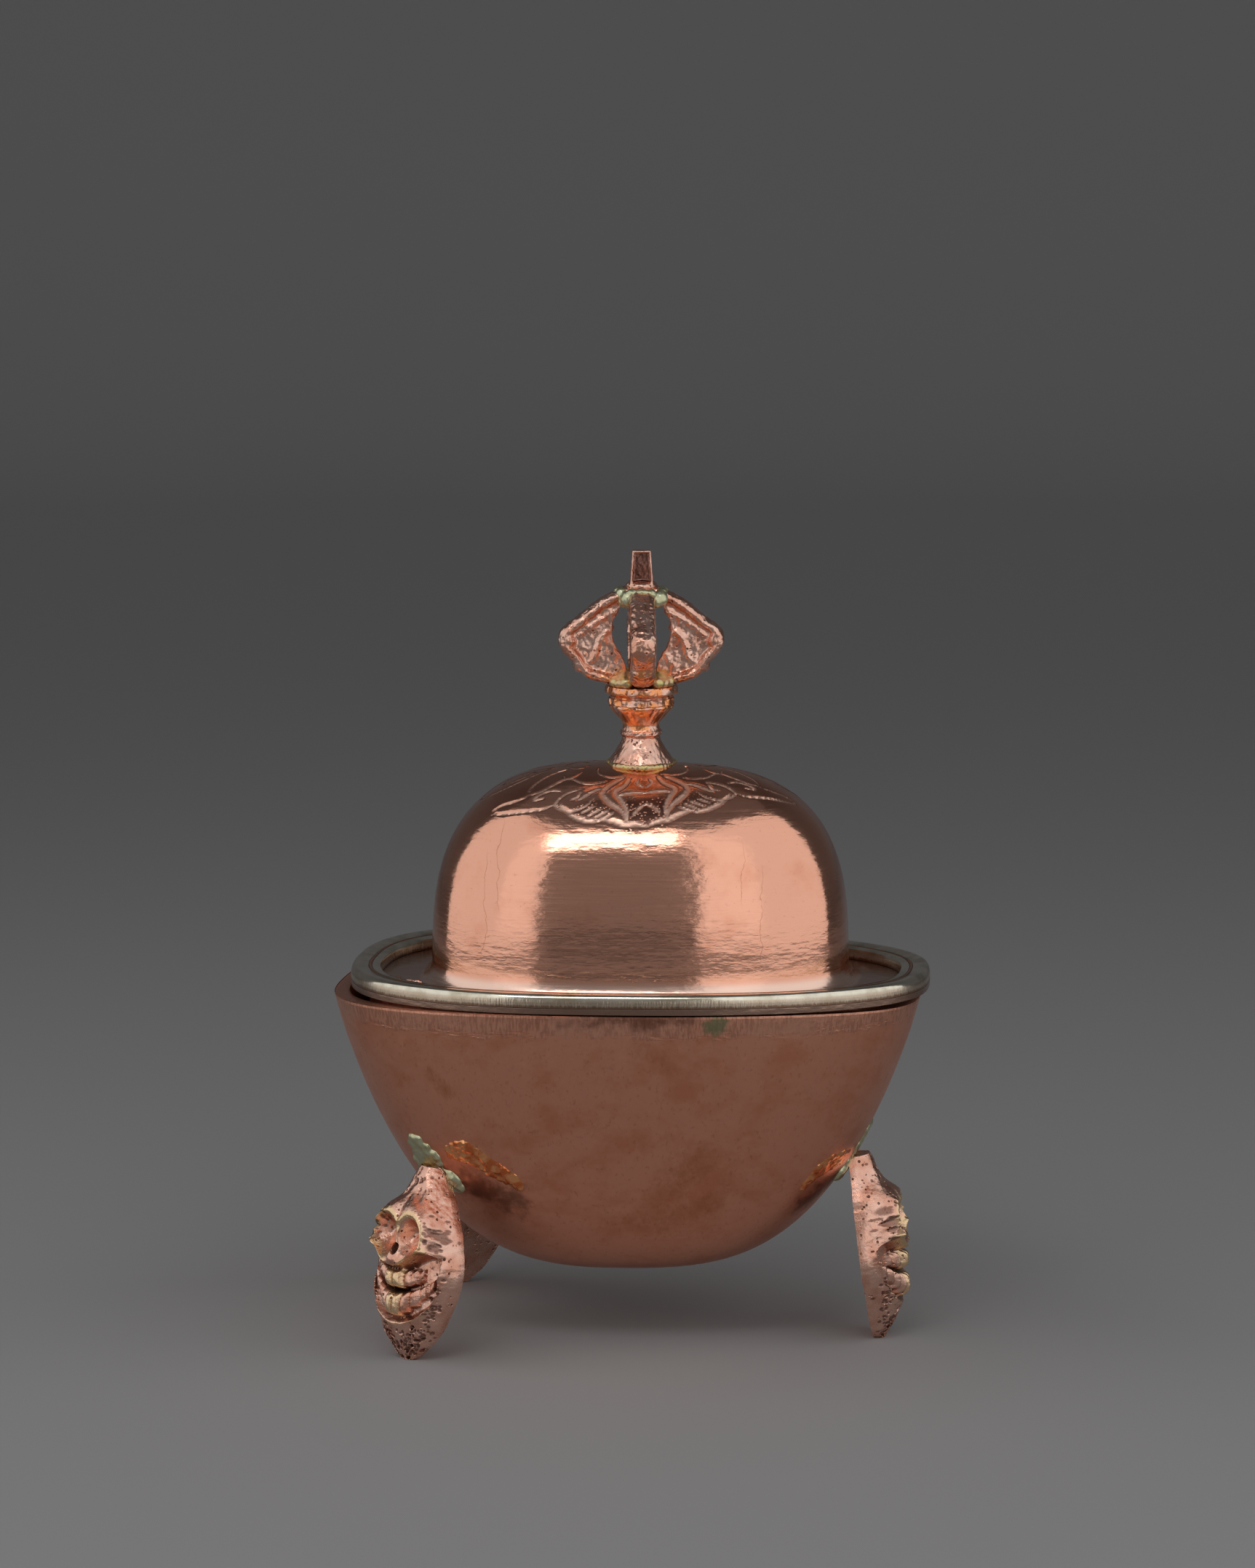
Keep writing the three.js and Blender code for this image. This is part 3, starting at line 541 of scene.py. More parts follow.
def near_runs(places, runs):
    """1 on a run between two points, fading to nothing at about twice its reach."""
    near = np.zeros(len(places))
    for start, end, reach in runs:
        near = np.maximum(near, bump(beside_line(places, start, end)[1] / reach))
    return near


LIP_DROP = 0.3
LIP_STEPS = 8


def make_bowl():
    """The raised bowl: its outside, a rounded rim and its inside, in one closed skin."""
    outside = bowl_steps(0, 70)
    inside = bowl_steps(-BOWL_WALL, 30)[::-1]
    rim = []
    for i in range(1, LIP_STEPS):
        angle = math.pi * i / LIP_STEPS
        inset = BOWL_WALL / 2 * (1 - math.cos(angle))
        drop = LIP_DROP * (1 - math.sin(angle) ** 0.7)
        rim.append((BOWL_HALF_LENGTH - inset, BOWL_HALF_DEPTH - inset, RIM_TOP - drop))
    outside[-1] = (*outside[-1][:2], RIM_TOP - LIP_DROP - 0.05)
    inside[0] = (*inside[0][:2], RIM_TOP - LIP_DROP - 0.1)
    piece = raise_wall("bowl_raised", oval(PLAN_POWER, PLAN_TURNS), [*outside, *rim, *inside], BOWL_MIDDLE)
    close_ends(piece)
    places = points_of(piece)
    share = np.clip((places[:, 2] - BOWL_CLEARANCE) / BOWL_HEIGHT, 0, 1)
    along = (places[:, 0] - BOWL_MIDDLE) / (BOWL_HALF_LENGTH * np.maximum(bowl_reach_share(share), 0.05))
    places[:, 2] -= RIM_DIP * np.clip(along, -1, 1) ** 4 * share ** 2
    move_points(piece, places)
    for name, runs in (("heat", HEAT_RUNS), ("stain", STAIN_RUNS), ("painted_shade", PAINTED_SHADE_RUNS)):
        write_values(piece, name, near_runs(places, runs))
    return piece


# Copper run down the bowl beside the two feet in front: where it faces, its upper edge and how far it hangs
LEFT_EDGE = [
    (-21.0, -18.0, 27.0), (-19.2, -18.4, 27.8), (-17.8, -19.0, 27.5),
    (-15.2, -18.8, 25.6), (-12.3, -18.3, 23.4),
]
RIGHT_EDGE = [(28.6, -6.3, 25.4), (27.2, -8.2, 25.5), (25.6, -9.9, 24.6), (23.4, -9.9, 22.2)]
HEAT_WELTS = {"left": (-115, LEFT_EDGE, 2.6), "right": (-30, RIGHT_EDGE, 2.0)}
WELT_RISE = 0.32
WELT_SPACING = 0.55


def make_heat_run(side):
    """A welt of copper set into the bowl's wall: many lumps of which only the caps stand out."""
    heading, edge, hang = HEAT_WELTS[side]
    outward = outward_at(heading)
    path = smooth_path(edge, 5)
    dice = np.random.default_rng(len(edge))
    parts = []
    for i, point in enumerate(path):
        share = i / (len(path) - 1)
        for drop in np.arange(0, hang * (0.45 + 0.55 * math.sin(math.pi * share)), WELT_SPACING):
            radius = dice.uniform(0.8, 1.15)
            place = point - (0, 0, drop) - 5 * outward
            sunk = WELT_RISE * dice.uniform(0.6, 1.3) - radius
            parts.append(lump(clear_of_bowl(place[None], outward, sunk)[0], radius, 2))
    return cast(join(parts, f"heat_run_{side}"), 0.13, 10, 0.8, 0.2)


# The chased ornament on the dome, in millimetres from its middle: half of the front motif, which is turned a
# little with the finial and mirrored to the other side and to the back. Each stroke has a half width.
ORNAMENT_TURN = math.radians(10.5)
LEAF_STROKES = [
    (0.42, [(1.7, -5.9), (2.4, -7.4), (3.7, -8.5), (3.1, -9.7), (2.4, -11.0), (2.5, -12.0)]),
    (0.45, [(2.5, -5.8), (4.5, -7.4), (5.3, -8.6), (4.6, -9.8), (3.1, -10.9), (2.4, -12.0)]),
    (0.34, [(0.0, -12.6), (1.4, -12.3), (2.9, -12.2), (4.2, -11.8), (5.9, -11.4)]),
    (0.34, [(5.8, -11.6), (7.6, -11.3), (9.4, -10.4), (10.6, -9.0)]),
    (0.30, [(0.0, -8.9), (1.5, -8.8), (3.2, -8.9)]),
    (0.26, [(0.0, -10.4), (0.8, -10.8), (1.8, -11.6)]),
    (0.26, [(0.6, -6.2), (0.9, -7.2), (0.2, -8.0)]),
]
LINE_STROKES = [
    (0.23, [(6.4, -9.0), (7.4, -9.8), (9.0, -10.1), (10.4, -9.7), (11.2, -8.9), (10.3, -8.0), (9.1, -7.5),
            (7.6, -7.3)]),
    (0.22, [(7.9, -7.7), (8.4, -8.5), (9.3, -8.7)]),
    (0.22, [(11.2, -8.8), (12.7, -9.0), (15.0, -8.4), (17.2, -7.5), (19.0, -6.2)]),
    (0.21, [(10.2, -7.3), (11.3, -6.7), (12.9, -6.8), (13.8, -7.4), (12.4, -7.6)]),
    (0.21, [(4.7, -6.4), (6.1, -6.6), (7.8, -6.2), (9.3, -4.8), (11.3, -5.7), (13.0, -6.4), (14.6, -6.3)]),
    (0.21, [(14.6, -6.5), (16.2, -6.4), (17.8, -5.9), (19.0, -5.9)]),
    (0.21, [(9.5, -1.9), (11.6, -2.9), (13.7, -4.7), (14.4, -6.0)]),
    (0.21, [(7.5, -3.3), (8.6, -4.6), (9.6, -4.8), (9.9, -3.8)]),
    (0.20, [(10.8, 0.0), (12.8, -1.2), (15.2, -2.2), (17.6, -2.3), (19.6, -1.2), (20.2, 0.0)]),
    (0.20, [(13.2, 0.0), (14.6, -1.0), (16.4, -1.1), (17.4, 0.0)]),
    (0.20, [(2.0, -5.3), (3.6, -5.6), (4.8, -5.2), (5.6, -4.0), (5.5, -2.4)]),
    (0.19, [(6.6, -1.0), (7.6, -2.0), (8.8, -1.4), (9.4, 0.0)]),
]
HATCH_LENGTH = (1.75, -0.55)
HATCH_STARTS = [(4.0, -11.0), (4.7, -10.7), (5.5, -10.4), (6.3, -10.0), (5.3, -7.6), (6.1, -8.0), (6.8, -8.4)]
GROOVE_DEPTH = 0.2
HATCH_HALF_WIDTH = 0.24
BROAD_HALF_WIDTH = 0.25
ORNAMENT_FALL = 9


def stroke_share(places, half_width, points):
    """How deep a tapering stroke cuts at places, from 0 beside it to 1 along its middle."""
    path = smooth_path(points, 4)
    runs = runs_along(path)
    depth = np.zeros(len(places))
    for start, end, run, next_run in zip(path, path[1:], runs, runs[1:]):
        share, gap = beside_line(places, start, end)
        along = (run + share * (next_run - run)) / runs[-1]
        width = half_width * (0.3 + 0.7 * np.sin(math.pi * along) ** 0.6)
        depth = np.maximum(depth, 1 - gap / width)
    return depth


def chase(piece):
    """Cuts the ornament into the top of the dome and keeps where its grooves and its punched ground are."""
    places = points_of(piece)
    x, y = places[:, 0] - LID_MIDDLE, places[:, 1]
    across, forward = np.abs(turned(x, y, -ORNAMENT_TURN))
    quarter = np.stack([across, -forward], 1)
    high = places[:, 2] > DOME_TOP - ORNAMENT_FALL
    top = np.flatnonzero(high & (np.hypot(x, y) > STEM_FOOT_RADIUS + 0.3))
    grooves = np.zeros(len(places))
    depths = np.zeros(len(places))
    hatches = [(HATCH_HALF_WIDTH, [start, tuple(np.add(start, HATCH_LENGTH))]) for start in HATCH_STARTS]
    for half_width, points in LEAF_STROKES + LINE_STROKES + hatches:
        share = stroke_share(quarter[top], half_width, points)
        shaped = share
        if half_width > BROAD_HALF_WIDTH:
            shaped = np.minimum(1, 1.8 * share) * (0.72 + 0.28 * np.cos(share * 14))
        grooves[top] = np.maximum(grooves[top], np.minimum(1, 2.5 * share))
        depths[top] = np.maximum(depths[top], shaped * min(1, half_width / 0.2))
    ground = step(-forward, -13.0, -12.4) * step(forward, 9.2, 10.0) * (1 - step(across, 2.2, 3.0))
    hatched = np.hypot((across - 6.3) / 3.2, (forward - 10.4) / 1.3)
    ground = np.maximum(ground, 0.7 * (1 - step(hatched, 0.7, 1.1))) * high
    places[:, 2] -= GROOVE_DEPTH * depths
    move_points(piece, places)
    write_values(piece, "groove", grooves)
    write_values(piece, "ground", ground * (1 - grooves))


def dome_steps(inset, foot, falls):
    """Rings of the dome from its foot upwards, for a run of falls from 1 at the foot to 0 at the top."""
    steps = []
    for fall in falls:
        along = fall ** (1 / DOME_LENGTH_POWER)
        across = fall ** (1 / DOME_DEPTH_POWER)
        rise = 0.97 * (1 - fall) ** (1 / 3) + 0.03 * (1 - along ** 2)
        level = foot + (DOME_TOP - inset - foot) * rise
        steps.append(((DOME_HALF_LENGTH - inset) * along, (DOME_HALF_DEPTH - inset) * across, level))
    return steps


def brim_steps(rows):
    """Rings round the brim: each row is a distance in from its edge and a level."""
    return [(BRIM_HALF_LENGTH - inset, BRIM_HALF_DEPTH - inset, level) for inset, level in rows]


def rim_level(inset):
    """Height of the rim's dished top at a distance in from the brim's edge."""
    return WELL_FLOOR + RIM_RISE - RIM_DISH * inset / RIM_WIDTH


def make_dome():
    """The lid's copper sheet: the dome, its cove and well, the brim and the inside."""
    cove = []
    for i in range(12):
        angle = math.pi / 2 * i / 12
        out = COVE_REACH * (1 - math.sin(angle))
        level = WELL_FLOOR + COVE_RISE * (1 - math.cos(angle))
        cove.append((DOME_HALF_LENGTH + out, DOME_HALF_DEPTH + out, level))
    wall = [math.cos(math.pi / 2 * i / 60) ** 2 for i in range(26)]
    reaches = np.linspace(wall[-1] ** (1 / DOME_DEPTH_POWER), 0.03, 92)
    top = [reach ** DOME_DEPTH_POWER for reach in reaches[1:]]
    rings = dome_steps(0, WELL_FLOOR + DOME_FOOT_RISE, [*wall, *top])
    rings = [ring for ring in rings if ring[2] > WELL_FLOOR + COVE_RISE]
    outline = oval(DOME_PLAN_POWER, DOME_TURNS)
    outside = raise_wall("dome", outline, [*cove, *rings], LID_MIDDLE)
    chase(outside)
    under = dome_steps(SHEET, BRIM_BOTTOM, [math.cos(math.pi / 2 * i / 14.3) ** 2 for i in range(15)])
    inside = raise_wall("inside", outline, under, LID_MIDDLE)
    lip = brim_steps([(RIM_OUTER_WIDTH + TOUCH_GAP, WELL_FLOOR), (0, WELL_FLOOR), (0, BRIM_BOTTOM)])
    brim = raise_wall("brim", oval(PLAN_POWER, DOME_TURNS), lip, LID_MIDDLE)
    piece = join([outside, inside, brim], "lid_copper_sheet")
    for level in (WELL_FLOOR, BRIM_BOTTOM):
        edit_border_at(piece, level)
        bpy.ops.mesh.bridge_edge_loops(number_cuts=4, interpolation="LINEAR")
        bpy.ops.object.mode_set(mode="OBJECT")
    return close_ends(piece)


def edit_border_at(piece, level):
    """Opens a piece for editing with only its open edges at a level selected."""
    edit_border(piece)
    bpy.ops.object.mode_set(mode="OBJECT")
    mesh = piece.data
    away = np.abs(points_of(piece)[:, 2] - level) > TOUCH_GAP
    for edge in mesh.edges:
        edge.select = edge.select and not (away[edge.vertices[0]] or away[edge.vertices[1]])
    chosen = {i for edge in mesh.edges if edge.select for i in edge.vertices}
    for vertex in mesh.vertices:
        vertex.select = vertex.index in chosen
    bpy.ops.object.mode_set(mode="EDIT")
    bpy.ops.mesh.select_mode(type="EDGE")


def rim_band(name, foot, top):
    """A band of the rim: from its foot up its outer side, over its top and down its inner side."""
    steps = brim_steps([(top[0][0], foot), *top, (top[-1][0], foot), (top[0][0], foot)])
    return raise_wall(name, oval(PLAN_POWER, PLAN_TURNS), steps, LID_MIDDLE, closes=True)


EDGE_DROP = 0.06


def make_rims():
    """The rim's outer band with its rounded edge, the copper seam and the inner band."""
    outer = [(0, rim_level(0) - RIM_ROUND_DEPTH)]
    for i in range(1, 7):
        angle = math.pi / 2 * i / 6
        inset = RIM_ROUND * (1 - math.cos(angle))
        outer.append((inset, rim_level(inset) - RIM_ROUND_DEPTH * (1 - math.sin(angle))))
    end = RIM_OUTER_WIDTH - TOUCH_GAP
    outer += [(end - 0.1, rim_level(end)), (end, rim_level(end) - 0.08)]
    start, end = RIM_OUTER_WIDTH, RIM_OUTER_WIDTH + SEAM_WIDTH
    seam = [(start, rim_level(start) - EDGE_DROP), ((start + end) / 2, rim_level(start))]
    seam.append((end, rim_level(end) - EDGE_DROP))
    start, end = end + TOUCH_GAP, RIM_WIDTH
    inner = [(start, rim_level(start) - EDGE_DROP), (start + 0.08, rim_level(start))]
    inner += [(end - 0.3, rim_level(end - 0.3)), (end - 0.1, rim_level(end) - EDGE_DROP)]
    inner.append((end, rim_level(end) - 0.3))
    foot = WELL_FLOOR + TOUCH_GAP
    return [
        rim_band("rim_outer_band", foot, outer),
        rim_band("rim_seam", WELL_FLOOR - TOUCH_GAP, seam),
        rim_band("rim_inner_band", foot, inner),
    ]


# Flakes of solder left in the well beside the dome: place and half sizes
FLAKES = [
    ((-26.2, -9.3), (0.9, 0.35, 0.4)),
    ((-27.2, -8.2), (0.8, 0.45, 0.3)),
    ((-29.0, -6.6), (0.45, 0.6, 0.25)),
]


def make_flakes():
    parts = [lump((*place, WELL_FLOOR), sizes, 2) for place, sizes in FLAKES]
    return cast(join(parts, "solder_flakes"), 0.1, 2, 0.4, 0.16)


def make_collar():
    """The collar under the brim, its lower edges bevelled."""
    inset = BOWL_WALL + COLLAR_CLEARANCE
    top = BRIM_BOTTOM - TOUCH_GAP
    foot = BRIM_BOTTOM - COLLAR_DROP
    rows = [(0, top), (0, foot + 0.25), (0.2, foot)]
    rows += [(COLLAR_WALL - 0.2, foot), (COLLAR_WALL, foot + 0.25), (COLLAR_WALL, top), (0, top)]
    steps = [(BOWL_HALF_LENGTH - inset - row, BOWL_HALF_DEPTH - inset - row, level) for row, level in rows]
    return raise_wall("collar_band", oval(PLAN_POWER, PLAN_TURNS), steps, BOWL_MIDDLE, closes=True)


# The finial's stem: bell foot, neck ring and lotus cup, as shares of foot radius and height
STEM_SHARES = [
    (0.999, 0), (1.0, 0.025), (0.915, 0.09), (0.725, 0.21), (0.62, 0.295), (0.595, 0.33), (0.645, 0.355),
    (0.655, 0.382), (0.645, 0.41), (0.595, 0.437), (0.595, 0.51), (0.862, 0.63), (1.0, 0.71), (0.99, 0.74),
    (1.03, 0.755), (1.03, 0.83), (0.985, 0.85), (1.12, 0.89), (1.13, 0.955), (1.08, 0.995),
]


def make_stem():
    path = smooth_path(STEM_SHARES, 4)
    grown = STEM_FOOT_RADIUS + STEM_GROWTH
    steps = [(reach * grown, reach * grown, rise * STEM_HEIGHT) for reach, rise in path]
    piece = raise_wall("finial_stem_cast", circle(192), steps, 0)
    close_ends(piece)
    places = points_of(piece)
    angle = np.arctan2(places[:, 1], places[:, 0])
    rise = places[:, 2] / STEM_HEIGHT
    reach = np.hypot(places[:, 0], places[:, 1])
    petal = np.abs(np.cos(PETAL_COUNT * angle / 2)) ** 0.5
    lower = step(rise, 0.5, 0.6) * (1 - step(rise, 0.7, 0.75))
    band = step(rise, 0.74, 0.77) * (1 - step(rise, 0.82, 0.86))
    upper = step(rise, 0.86, 0.9) * (1 - step(rise, 0.97, 1.0))
    pearl = bump((np.abs(np.sin(PETAL_COUNT * angle)) - 1) / 0.35)
    cut = PETAL_DEPTH * (1 - petal) * (lower * 1.2 + upper) + PEARL_DEPTH * (1 - pearl) * band
    places[:, :2] *= (1 - np.where(reach > 1.5, cut / np.maximum(reach, 1), 0))[:, None]
    move_points(piece, places)
    roughen(piece, 0.8, 0.26)
    roughen(piece, 0.35, 0.1)
    return on_finial(piece, DOME_TOP + TOUCH_GAP)


def on_finial(piece, level, quarter=0):
    """Moves a piece made about the origin to its place on the finial."""
    x, y, z = points_of(piece).T
    x, y = turned(x, y, VAJRA_TURN + quarter * math.pi / 2)
    move_points(piece, np.stack([x + LID_MIDDLE, y, z + level], 1))
    return piece


def upright_plate(points, thickness):
    """A flat plate in the upright plane of a prong, centred across its thickness."""
    bpy.ops.mesh.primitive_circle_add(vertices=len(points), radius=MM, fill_type="NGON")
    piece = bpy.context.object
    move_points(piece, [(reach, -thickness / 2, rise) for reach, rise in points])
    edit(piece)
    bpy.ops.mesh.extrude_region_move(TRANSFORM_OT_translate={"value": (0, thickness * MM, 0)})
    return finish_editing(piece)


# A side prong seen from the side: reach and rise as shares of its reach and rise
PRONG_OUTER_SHARES = [
    (0.41, 0), (0.65, 0.06), (0.77, 0.15), (0.84, 0.24), (0.95, 0.33), (1, 0.42), (1, 0.5), (0.94, 0.59),
    (0.79, 0.685), (0.66, 0.775), (0.53, 0.86), (0.36, 0.94), (0.2, 1),
]
PRONG_INNER_SHARES = [
    (0.2, 0.9), (0.25, 0.79), (0.3, 0.71), (0.34, 0.64), (0.35, 0.53), (0.32, 0.42), (0.265, 0.33),
    (0.19, 0.21), (0.17, 0.12), (0.17, 0),
]
# Ridges on the web with their half thickness, and knobs with their size and half thickness
RIDGE_HALF_WIDTH = 0.72
PRONG_LUMPS = 16
LUMP_SPANS = [(0.4, 0.78), (0.16, 0.62), (0.5, 0.95), (1.0, 1.3)]
PRONG_RIDGES = [
    ([(0.76, 0.5), (0.62, 0.6), (0.46, 0.68), (0.33, 0.74)], 1.3),
    ([(0.42, 0.54), (0.5, 0.46), (0.54, 0.36), (0.58, 0.26), (0.68, 0.22), (0.77, 0.27)], 1.35),
    ([(0.3, 0.3), (0.38, 0.2), (0.46, 0.1)], 1.2),
]
KNOBS = [
    (0.88, 0.46, 1.3, 1.75), (0.73, 0.2, 1.15, 1.55), (0.83, 0.31, 0.95, 1.55), (0.58, 0.1, 0.9, 1.4),
    (0.36, 0.57, 0.5, 0.55), (0.37, 0.48, 0.35, 0.45),
]


def prong_points(shares):
    return np.array(shares) * (PRONG_REACH, PRONG_RISE)


def lump(place, half_sizes, detail=3):
    """A rounded lump of metal, to be fused with others."""
    bpy.ops.mesh.primitive_ico_sphere_add(subdivisions=detail, radius=MM)
    piece = bpy.context.object
    move_points(piece, points_of(piece) * half_sizes + place)
    return piece


def chain(path, radial, sideways, gap=0.42):
    """Rounded lumps in a row along a path in a prong's plane, half sizes across the path and sideways."""
    runs = runs_along(path)
    at = np.linspace(0, runs[-1], max(2, int(runs[-1] / gap)))
    centres = zip(np.interp(at, runs, path[:, 0]), np.interp(at, runs, path[:, 1]))
    return [lump((reach, 0, rise), (radial, sideways, radial), 2) for reach, rise in centres]


def make_prong(side, quarter):
    """A thick rounded band round a lumpy web, with folds and knobs on it, fused in one casting."""
    outer = smooth_path(prong_points(PRONG_OUTER_SHARES), 4)
    inner = smooth_path(prong_points(PRONG_INNER_SHARES), 4)
    along = np.gradient(outer, axis=0)
    along /= np.linalg.norm(along, axis=1, keepdims=True)
    half_band = PRONG_BAND_THICKNESS / 2
    middle = outer + half_band * np.stack([-along[:, 1], along[:, 0]], 1)
    middle = np.maximum(middle, (0.13 * PRONG_REACH, half_band))
    parts = [upright_plate([*outer, *inner], PRONG_WEB)]
    parts += chain(middle, half_band + 0.14, PRONG_BAND_WIDTH / 2 + 0.12)
    for ridge, sideways in PRONG_RIDGES:
        parts += chain(smooth_path(prong_points(ridge), 3), RIDGE_HALF_WIDTH, sideways, 0.36)
    dice = np.random.default_rng(11 + quarter)
    small = [[dice.uniform(*span) for span in LUMP_SPANS] for _ in range(PRONG_LUMPS)]
    for knobs, detail in ((KNOBS, 3), (small, 2)):
        for reach, rise, size, sideways in knobs:
            parts.append(lump((reach * PRONG_REACH, 0, rise * PRONG_RISE), (size, sideways, size), detail))
    piece = cast(join(parts, f"prong_{side}_cast"), softness=15, size=0.9, height=0.26)
    return on_finial(piece, CUP_TOP + TOUCH_GAP, quarter)


def make_centre_prong():
    """A round post and a square head whose front and back are sunk inside a border."""
    post = raise_wall("post", circle(48), [(BAR_RADIUS, BAR_RADIUS, level) for level in (0, PRONG_RISE)], 0)
    close_ends(post)
    height = VAJRA_HEIGHT - PRONG_RISE + PRONG_BAND_THICKNESS
    bpy.ops.mesh.primitive_cube_add(size=2 * MM)
    head = bpy.context.object
    places = points_of(head)
    half = np.where(places[:, 2] > 0, BAR_TIP_HALF, BAR_NECK_HALF)
    level = VAJRA_HEIGHT - height * (1 - places[:, 2]) / 2
    move_points(head, np.stack([places[:, 0] * half, places[:, 1] * half, level], 1))
    for facing in (-1, 1):
        select_faces(head, lambda face: face.normal.y * facing > 0.7 and face.area > 5 * MM * MM)
        bpy.ops.mesh.inset(thickness=RECESS_BORDER * MM, depth=0)
        inwards = (0, -facing * RECESS_DEPTH * MM, 0)
        bpy.ops.mesh.extrude_region_move(TRANSFORM_OT_translate={"value": inwards})
        bpy.ops.object.mode_set(mode="OBJECT")
    edit(head)
    bpy.ops.mesh.bevel(offset=0.1 * MM, segments=2)
    finish_editing(head)
    shoulder = lump((0, 0, PRONG_RISE + 0.1), (2.1, 2.1, 0.9))
    piece = join([post, head, shoulder], "centre_prong_cast")
    cast(piece, grain=0.085, softness=3, size=0.7, height=0.1)
    x, y, z = points_of(piece).T
    half = BAR_TIP_HALF + (BAR_NECK_HALF - BAR_TIP_HALF) * (VAJRA_HEIGHT - z) / height
    sunk = (np.abs(x) < half - RECESS_BORDER - 0.03) & (np.abs(y) < half - 0.18)
    write_values(piece, "sunk", sunk & (z > VAJRA_HEIGHT - 3.9) & (z < VAJRA_HEIGHT - 0.38))
    return on_finial(piece, CUP_TOP)


def select_faces(piece, wanted):
    """Selects the faces that a test picks, and stays in edit mode."""
    edit(piece)
    bpy.ops.mesh.select_all(action="DESELECT")
    bpy.ops.mesh.select_mode(type="FACE")
    bpy.ops.object.mode_set(mode="OBJECT")
    for face in piece.data.polygons:
        face.select = wanted(face)
    bpy.ops.object.mode_set(mode="EDIT")


QUARTERS = {"right": 0, "back": 1, "left": 2, "front": 3}

# Lumps of brass where a prong meets the head, and in one root: place, half width and half height
TIP_LUMPS = [
    (-1.7, -2.3, 11.0, 1.05, 1.1), (1.8, -2.0, 10.7, 1.0, 1.0), (-1.2, -2.5, 11.7, 0.8, 0.7),
    (1.1, -2.5, 11.6, 0.8, 0.75), (0.1, -2.7, 11.9, 0.8, 0.5),
]
ROOT_LUMPS = [
    (1.9, 1.9, 0.7, 1.5, 1.2), (3.1, 1.9, 0.5, 1.1, 0.88),
    (1.9, 3.1, 0.5, 1.1, 0.88), (2.6, 2.6, 0.4, 1.0, 0.8),
]


def run_brass(name, lumps, softness=6, detail=3):
    parts = [lump((x, y, rise), (width, width, height), detail) for x, y, rise, width, height in lumps]
    return cast(join(parts, name), 0.12, softness, 0.6, 0.12)


def make_finial_brazes():
    """Brass run round the finial's foot, round the bar's neck and into the four roots."""
    ring = []
    for angle in np.linspace(0, 2 * math.pi, 40, endpoint=False):
        reach = 3.95 + 0.12 * math.sin(3 * angle) + 0.08 * math.sin(7 * angle)
        size = 0.5 + 0.14 * math.sin(5 * angle + 1)
        ring.append((reach * math.cos(angle), reach * math.sin(angle), 0.0, size, 0.4 + size / 4))
    foot = on_finial(run_brass("base_braze_run", ring, detail=2), DOME_TOP - 0.1)
    tips = []
    for turn in range(4):
        for x, y, *sizes in TIP_LUMPS:
            for _ in range(turn):
                x, y = -y, x
            tips.append((x, y, *sizes))
    tip = on_finial(run_brass("tip_braze_run", tips, 5), CUP_TOP)
    roots = []
    for name, quarter in QUARTERS.items():
        roots.append(on_finial(run_brass(f"root_braze_{name}_run", ROOT_LUMPS), CUP_TOP + TOUCH_GAP, quarter))
    return foot, tip, roots


# The mask: half width and crown against height, then its features, all as shares of its own sizes
OUTLINE_SHARES = [
    (0, 0.14), (0.05, 0.34), (0.1, 0.52), (0.19, 0.73), (0.3, 0.89), (0.4, 0.975), (0.48, 1), (0.58, 0.94),
    (0.68, 0.83), (0.83, 0.59), (0.92, 0.41), (1, 0.26),
]
CROWN_SHARES = [
    (0, 0.2), (0.05, 0.36), (0.1, 0.52), (0.15, 0.63), (0.22, 0.7), (0.3, 0.76), (0.4, 0.83), (0.5, 0.87),
    (0.6, 0.88), (0.7, 0.9), (0.76, 0.86), (0.82, 0.74), (0.88, 0.63), (1, 0.46),
]
# Each tooth of half a row: its place across, half width, reach, place over the gap, half height
TOOTH_SHARES = [
    (0.094, 0.115, 0.96, 0.055, 0.057), (0.253, 0.082, 0.81, 0.053, 0.049),
    (0.374, 0.079, 0.74, 0.047, 0.043), (0.491, 0.077, 0.65, 0.041, 0.035),
    (0.079, 0.103, 0.92, -0.073, 0.069), (0.235, 0.1, 0.86, -0.067, 0.061),
    (0.391, 0.1, 0.77, -0.057, 0.051), (0.544, 0.097, 0.66, -0.047, 0.041),
    (0.684, 0.088, 0.54, -0.039, 0.029),
]
# Fields of casting pits: their middle and spread as shares, how many, their size and depth in millimetres
PIT_FIELDS = [
    ((-0.8, 0.66), (0.05, 0.04), 7, 0.55, 0.3),
    ((0.8, 0.66), (0.05, 0.04), 8, 0.55, 0.3),
    ((-0.78, 0.66), (0.09, 0.06), 34, 0.24, 0.2),
    ((0.78, 0.66), (0.09, 0.06), 35, 0.24, 0.2),
    ((-0.6, 0.1), (0.25, 0.05), 70, 0.22, 0.3),
    ((0.55, 0.11), (0.25, 0.05), 71, 0.22, 0.3),
    ((-0.8, 0.28), (0.06, 0.1), 60, 0.19, 0.28),
    ((0.8, 0.28), (0.06, 0.1), 61, 0.19, 0.28),
    ((0.0, 0.9), (0.4, 0.05), 22, 0.24, 0.14),
]


def spot(across, up, middle, size):
    """1 in the middle of a feature, fading to nothing round it."""
    return bump((across - middle[0]) / size[0]) * bump((up - middle[1]) / size[1])


